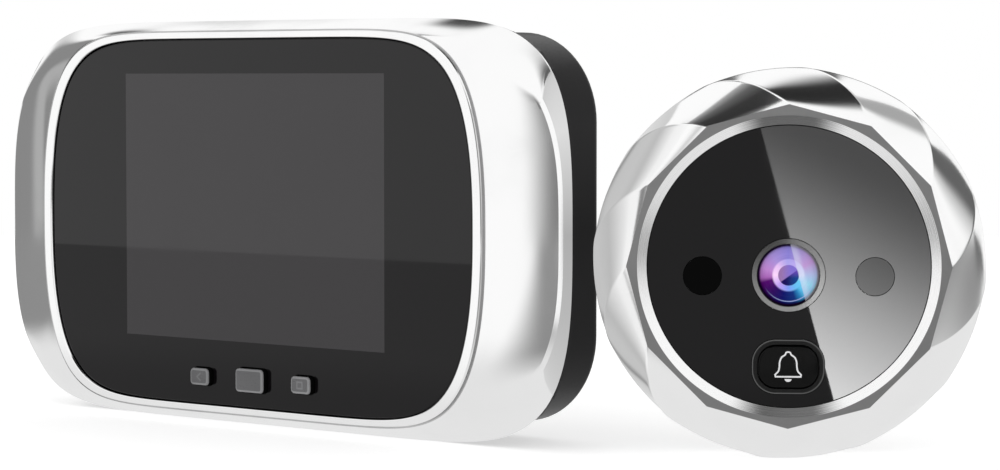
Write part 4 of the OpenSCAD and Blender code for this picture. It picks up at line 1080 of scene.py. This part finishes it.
face_colour = (0.0035, 0.0032, 0.0036, 1)
face_black = polished("face_black", face_colour, 0.0, 0.02, 0.06, 40.0, Specular_IOR_Level=0.18)
sensor_black = polished("sensor_black", grey(0.0002), 0.0, 0.03, 0.1, Specular_IOR_Level=0.04)
lamp_glass = polished("lamp_glass", (0.6, 0.62, 0.7, 1), 0.0, 0.05, 0.12)
print("finishes:", len(bpy.data.materials))

# %% [markdown]
# ## Finishes on the solids that stay
#
# Many solids are already the right shape: the housing, the bracket, the boards. They keep their meshes
# and only change their material. A table from finish to nodes is easier to check than a long run of
# assignments.

# %% Finishes on the solids
finishes = {
    lens_painted_reflection: ["front_lens"],
    face_black: ["face_panel"],
    sensor_black: ["sensor_windows"],
    lens_trim: ["lens_ring"],
    surround_black: ["button_surround"],
    housing_black: ["rear_housing", "battery_door", "back_cover"],
    inner_black: ["front_case", "camera_case", "lens_barrel", "lens_holder"],
    screen_glass: ["lcd_panel"],
    lamp_glass: ["inner_lens", "ir_leds"],
    white_plastic: ["lcd_backlight", "camera_socket"],
    board_green: ["main_board", "camera_board"],
    chip_black: ["board_chips", "image_sensor", "key_switches", "bell_switch", "speaker"],
    zinc_steel: ["wall_bracket", "housing_screws", "case_screws"],
    brass: ["threaded_inserts", "battery_contacts"],
    foam: ["back_gasket", "cable_grommet", "window_tape"],
    cell_sleeve: ["battery_cells"],
}
for material, names in finishes.items():
    for name in names:
        nodes[name].data.materials[0] = material
print("solids with a finish of their own:", sum(len(names) for names in finishes.values()))

# %% [markdown]
# ## Studio
#
# The picture has no room in it, only light. A pale floor carries the two units. Chrome shows nothing
# but what stands round it, so the world is painted as a bright studio with a few grey panels, a dark
# beam overhead and a small dark arc beside it; seen directly, it is plain white. A panel is given by
# its bearing, its height over the horizon and its shade, and the beam and the arc by the directions
# between which they fade in.

# %% Panels, beam and arc
world = bpy.data.worlds.new("studio")
bpy.context.scene.world = world
world.use_nodes = True
tree = world.node_tree
tree.nodes.clear()
x, y, z = axes(field(tree, "ShaderNodeTexCoord", output="Generated"))
bearing_deg = x.math("ARCTAN2", y * -1.0).math("DEGREES")
height_deg = z.math("ARCSINE").math("DEGREES")

# Bearing, half width and feather; height, half height and feather; shade
PANELS = [
    ((-84, 20, 12), (0, 16, 16), 0.25),
    ((-75, 2, 5), (3, 10, 12), 0.42),
    ((-93, 14, 9), (22, 5, 6), 0.25),
    ((-140, 12, 8), (8, 9, 5), 0.1),
    ((6, 3, 8), (0, 12, 14), 0.2),
    ((165, 8, 95), (-3, 8, 7), 0.15),
    ((150, 5, 50), (22, 5, 8), 0.45),
    ((163, 10, 24), (8, 16, 12), 0.12),
    ((165, 12, 30), (50, 6, 8), 0.38),
]
BEAM_LEAN, BEAM_END, BEAM_SHADE, ARC_SHADE = 0.35, 0.43, 0.02, 0.05
lean = x * BEAM_LEAN + y
left_end = y * BEAM_END + x
high_up = (z, 0.42, 0.66)
# What is measured, where the dark starts and where it is full
BEAM = [(lean, -0.42, -0.14), (lean, 0.46, 0.3), (left_end, -0.22, 0.04), (x, 0.56, 0.46), high_up]
ARC_ENDS = [(left_end, -0.395, -0.415), (left_end, -0.5, -0.46)]
ARC = [(lean, -0.16, -0.08), (lean, 0.36, 0.2), *ARC_ENDS, high_up]
print("studio panels:", len(PANELS))


# %% World
def near(value, middle, half_width, feather):
    """One inside a band round the middle, easing to nothing over the feather."""
    return abs(value - middle).remap(half_width, half_width + feather, 1.0, 0.0)


studio = grey(1.0)
for across, upward, shade in PANELS:
    studio = (near(bearing_deg, *across) * near(height_deg, *upward)).mix(studio, grey(shade))
for limits, shade in ((BEAM, BEAM_SHADE), (ARC, ARC_SHADE)):
    dark = math.prod(value.remap(low, high) for value, low, high in limits)
    studio = dark.mix(studio, grey(shade))
lit = field(tree, "ShaderNodeBackground", {"Color": studio})
plain = field(tree, "ShaderNodeBackground", {"Color": grey(1.0)})
sees = field(tree, "ShaderNodeLightPath", output="Is Camera Ray")
either = field(tree, "ShaderNodeMixShader", {0: sees, 1: lit, 2: plain})
node(tree, "ShaderNodeOutputWorld", {"Surface": either})
bpy.context.scene.view_settings.view_transform = "Standard"
print("world has", len(tree.nodes), "nodes")

# %% [markdown]
# The floor is a wide disc under both units. Seen directly it is nearly white. In reflections it is a
# little darker, as a table in front of a lit wall is, with grey beside the units and in a strip before
# the gap.


# %% Stage helpers
def stage_paint(name):
    """New material with an empty tree for a stage piece: returns it and the tree."""
    paint = bpy.data.materials.new(name)
    paint.use_nodes = True
    paint.node_tree.nodes.clear()
    return paint, paint.node_tree


def add_stage(name, mesh, paint, surface):
    """Puts a stage piece in the scene, painted with the given shader."""
    node(paint.node_tree, "ShaderNodeOutputMaterial", {"Surface": surface})
    mesh.materials.append(paint)
    made = add_object(name, mesh)
    return made


# %% Floor
FLOOR_R, FLOOR_SIDES = 0.62, 128
FLOOR_PALE, FLOOR_LIFT = 0.72, 0.58
LEFT_GREY, RIGHT_GREY, BESIDE = (-0.09, -0.17), (0.15, 0.24), (-0.75, -0.5)
STRIP_X, STRIP_HALF, STRIP_AHEAD = 0.07, (0.01, 0.04), (-0.04, -0.1)
FAR_FADE, FAR_TONE, GREY_TONE = (-0.14, -0.06), 0.8, 0.27
floor_mesh = bpy.data.meshes.new("floor")
made = bmesh.new()
bmesh.ops.create_circle(made, cap_ends=True, segments=FLOOR_SIDES, radius=FLOOR_R)
bmesh.ops.translate(made, verts=made.verts, vec=(0, 0, cad_box[0].z))
made.to_mesh(floor_mesh)
made.free()
paint, tree = stage_paint("floor_paint")
x, y, _ = axes(object_coords(tree))
beside = (y / abs(x)).remap(*BESIDE)
sides = (x.remap(*LEFT_GREY) * beside).math("MAXIMUM", x.remap(*RIGHT_GREY) * beside)
strip = abs(x - STRIP_X).remap(*STRIP_HALF, 1.0, 0.0) * y.remap(*STRIP_AHEAD)
far_pale = y.remap(*FAR_FADE).mix(grey(1.0), grey(FAR_TONE))
shade = sides.math("MAXIMUM", strip).mix(far_pale, grey(GREY_TONE))
pale = field(tree, "ShaderNodeBsdfDiffuse", {"Color": grey(FLOOR_PALE)})
lift = field(tree, "ShaderNodeEmission", {"Color": grey(1.0), "Strength": FLOOR_LIFT})
seen = field(tree, "ShaderNodeAddShader", {0: pale, 1: lift})
mirrored = field(tree, "ShaderNodeEmission", {"Color": shade})
sees = field(tree, "ShaderNodeLightPath", output="Is Glossy Ray")
add_stage("floor", floor_mesh, paint, field(tree, "ShaderNodeMixShader", {0: sees, 1: seen, 2: mirrored}))
print("floor at", round(1000 * cad_box[0].z, 1), "mm")

# %% [markdown]
# The picture's own camera stands where the photograph was taken from, found by fitting the screen's four
# corners: to the right of the monitor and a little above it, with a long lens.

# %% Picture's camera
EYE = Vector((0.3505, -0.3796, 0.0233))
LOOK = Vector((-0.6404, 0.7664, -0.0502))
view = bpy.data.cameras.new("view")
view.lens, view.sensor_width = 112.1, 36.0
view.clip_start, view.clip_end = 0.01, 20.0
camera = add_object("view", view)
camera.location = EYE
camera.rotation_euler = LOOK.to_track_quat("-Z", "Y").to_euler()
bpy.context.scene.camera = camera
print("camera at", [round(c, 4) for c in EYE])

# %% [markdown]
# Black gloss shows the light that stands opposite to it. Cards give the slanting light in the camera's
# face and the level line in the monitor's window, and light linking keeps them out of the chrome. Their
# corners are worked out by mirroring the line of sight in the gloss, so each edge lands where it
# should.


# %% Light card helpers
def hide(card):
    """Leaves a card visible in reflections only."""
    card.visible_camera = card.visible_shadow = card.visible_diffuse = False


def mirrored_sight(point, outward):
    """Direction in which the eye looks on, after a flat face has mirrored it at a point."""
    sight = (point - EYE).normalized()
    return sight - 2 * sight.dot(outward) * outward


def light_card(name, place, front, drawn_corners, drawn_glow, away, dim, bright, receiver):
    """Card that shows over the drawn corners of a flat face, dim to bright between two drawn points."""
    outward = (place.to_3x3() @ Vector((0, 0, 1))).normalized()
    points = [place @ Vector((*drawn, front)) for drawn in (*drawn_corners, *drawn_glow)]
    middle = sum(points[:-2], Vector()) / len(drawn_corners)
    facing = mirrored_sight(middle, outward)
    plane = middle + away * facing
    mirrored = []
    for point in points:
        sight = mirrored_sight(point, outward)
        mirrored.append(point + sight * ((plane - point).dot(facing) / sight.dot(facing)))
    *corners, first, last = mirrored
    mesh = bpy.data.meshes.new(name)
    mesh.from_pydata(corners, [], [tuple(range(len(corners)))])
    paint, tree = stage_paint(name)
    along = (last - first) / (last - first).length_squared
    inputs = {0: object_coords(tree), 1: along}
    share = field(tree, "ShaderNodeVectorMath", inputs, "Value", operation="DOT_PRODUCT")
    glow = share.remap(first.dot(along), last.dot(along), dim, bright)
    shine = field(tree, "ShaderNodeEmission", {"Color": grey(1.0), "Strength": glow})
    through = field(tree, "ShaderNodeBsdfTransparent")
    card = add_stage(name, mesh, paint, field(tree, "ShaderNodeAddShader", {0: shine, 1: through}))
    hide(card)
    card.light_linking.receiver_collection = bpy.data.collections.new(name + "_lights")
    card.light_linking.receiver_collection.objects.link(receiver)
    print(name, "stands", away, "m away")


# %% Light cards
FACE_TOP, FACE_FOOT, FACE_SIDE = (-5.2, 24.0), (7.9, -24.0), 27.0
FACE_GLOW = [(7.3, 18.4), (-18.0, -29.0)]
FACE_DIM, FACE_BRIGHT = 3.7, 66.0
# Node, share of the face's light and distance of its card
FACE_CARDS = [("face_panel", 1.0, 0.06), ("sensor_windows", 2.65, 0.05), ("lens_ring", 0.5, 0.055)]
face_light = [FACE_TOP, FACE_FOOT, (FACE_SIDE, FACE_FOOT[1]), (FACE_SIDE, FACE_TOP[1])]
for part, gain, away in FACE_CARDS:
    tones = (gain * FACE_DIM, gain * FACE_BRIGHT)
    light_card(part + "_card", camera_place, face_front, face_light, FACE_GLOW, away, *tones, nodes[part])
LEVEL, SIDE_X, TOP_Y = -4.7, 52.0, 34.0
WINDOW_AWAY, WINDOW_TONE = 0.2, 0.6
window_light = [(-SIDE_X, TOP_Y), (-SIDE_X, LEVEL), (SIDE_X, LEVEL), (SIDE_X, TOP_Y)]
window_tones = (WINDOW_AWAY, WINDOW_TONE, WINDOW_TONE)
light_card(
    "window_card", monitor_place, window_front, window_light, window_light[:2], *window_tones, black_window
)

# %% [markdown]
# The two units stand only a few millimetres apart, so each would show as a black shape in the other's
# chrome. Grey bounce cards in the gap, hidden from direct view, put light there instead. A dark flag
# hangs over the upper left of the outdoor camera, where its facets should go dark. Photographers use
# both.


# %% Hidden card helper
def hidden_card(name, pairs, tones):
    """Strip through pairs of points that only shows in reflections, with a tone for each pair."""
    points = [point for pair in pairs for point in pair]
    mesh = bpy.data.meshes.new(name)
    mesh.from_pydata(points, [], [(i, i + 1, i + 3, i + 2) for i in range(0, len(points) - 2, 2)])
    tone = mesh.attributes.new("tone", "FLOAT", "POINT")
    tone.data.foreach_set("value", np.repeat(tones, 2).astype(np.float32))
    paint, tree = stage_paint(name)
    shown = field(tree, "ShaderNodeAttribute", output="Fac", attribute_name="tone")
    glow = field(tree, "ShaderNodeEmission", {"Color": grey(1.0), "Strength": shown})
    hide(add_stage(name, mesh, paint, glow))
    print(name, "has", len(mesh.polygons), "fields")


# %% Bounce cards
GAP_BEARING, GAP_HALF = math.radians(26.5), 0.0003
LEFT_ENDS, LEFT_TONES = (-0.07, 0.03), (0.68, 0.53, 0.44, 0.76, 0.6)
# Distance along the gap, height of the card's top and tone
RIGHT_CARD = [
    (-0.07, 0.036, 0.95), (-0.058, 0.036, 0.9), (-0.052, 0.036, 0.68), (-0.048, 0.036, 0.5),
    (-0.044, 0.036, 0.56), (-0.039, 0.036, 0.55), (-0.035, 0.036, 0.25), (-0.032, 0.018, 0.6),
    (-0.01, 0.016, 0.75), (0.03, 0.016, 0.75),
]
gap_across = Vector((math.cos(GAP_BEARING), math.sin(GAP_BEARING), 0))
gap_along = Vector((-gap_across.y, gap_across.x, 0))
monitor_end = max(vertex.co.dot(gap_across) for vertex in nodes["front_bezel"].data.vertices)
camera_end = min(vertex.co.dot(gap_across) for vertex in nodes["twist_bezel"].data.vertices)


def in_gap(side, along, z):
    """Point in the gap between the units, towards the monitor for a side of -1 or the camera for 1."""
    middle = (monitor_end + camera_end) / 2
    return gap_across * (middle + side * GAP_HALF) + gap_along * along + Vector((0, 0, z))


heights = np.linspace(cad_box[0].z, cad_box[1].z, len(LEFT_TONES))
left_pairs = [[in_gap(-1, end, z) for end in LEFT_ENDS] for z in heights]
hidden_card("bounce_left", left_pairs, LEFT_TONES)
right_pairs = [[in_gap(1, along, z) for z in (cad_box[0].z, top)] for along, top, _ in RIGHT_CARD]
hidden_card("bounce_right", right_pairs, [tone for *_, tone in RIGHT_CARD])
print("gap between the units, mm:", round(1000 * (camera_end - monitor_end), 2))

# %% Flag
FLAG_AWAY, FLAG_HALF = 0.03, 0.01
# Bearing from the front to the right and height over the horizon, in degrees, and tone
FLAG = [(40, 18, 0.2), (25, 25, 0.02), (0, 55, 0.03), (-45, 65, 0.12), (-80, 60, 0.4)]
SPOT_BEARING, SPOT_R, SPOT_DEPTH = math.radians(112), 27.0, 2.0
spot_drawn = (SPOT_R * math.cos(SPOT_BEARING), SPOT_R * math.sin(SPOT_BEARING), ring_front - SPOT_DEPTH)
facet_spot = camera_place @ Vector(spot_drawn)


def sky(bearing, height):
    """Direction for a bearing and a height in degrees."""
    turn, rise = math.radians(bearing), math.radians(height)
    return Vector((math.sin(turn) * math.cos(rise), -math.cos(turn) * math.cos(rise), math.sin(rise)))


flag_line = [facet_spot + FLAG_AWAY * sky(bearing, height) for bearing, height, _ in FLAG]
flag_pairs = []
for i, point in enumerate(flag_line):
    along = flag_line[min(i + 1, len(flag_line) - 1)] - flag_line[max(i - 1, 0)]
    across = along.cross(point - facet_spot).normalized() * FLAG_HALF
    flag_pairs.append((point - across, point + across))
hidden_card("dark_flag", flag_pairs, [tone for *_, tone in FLAG])
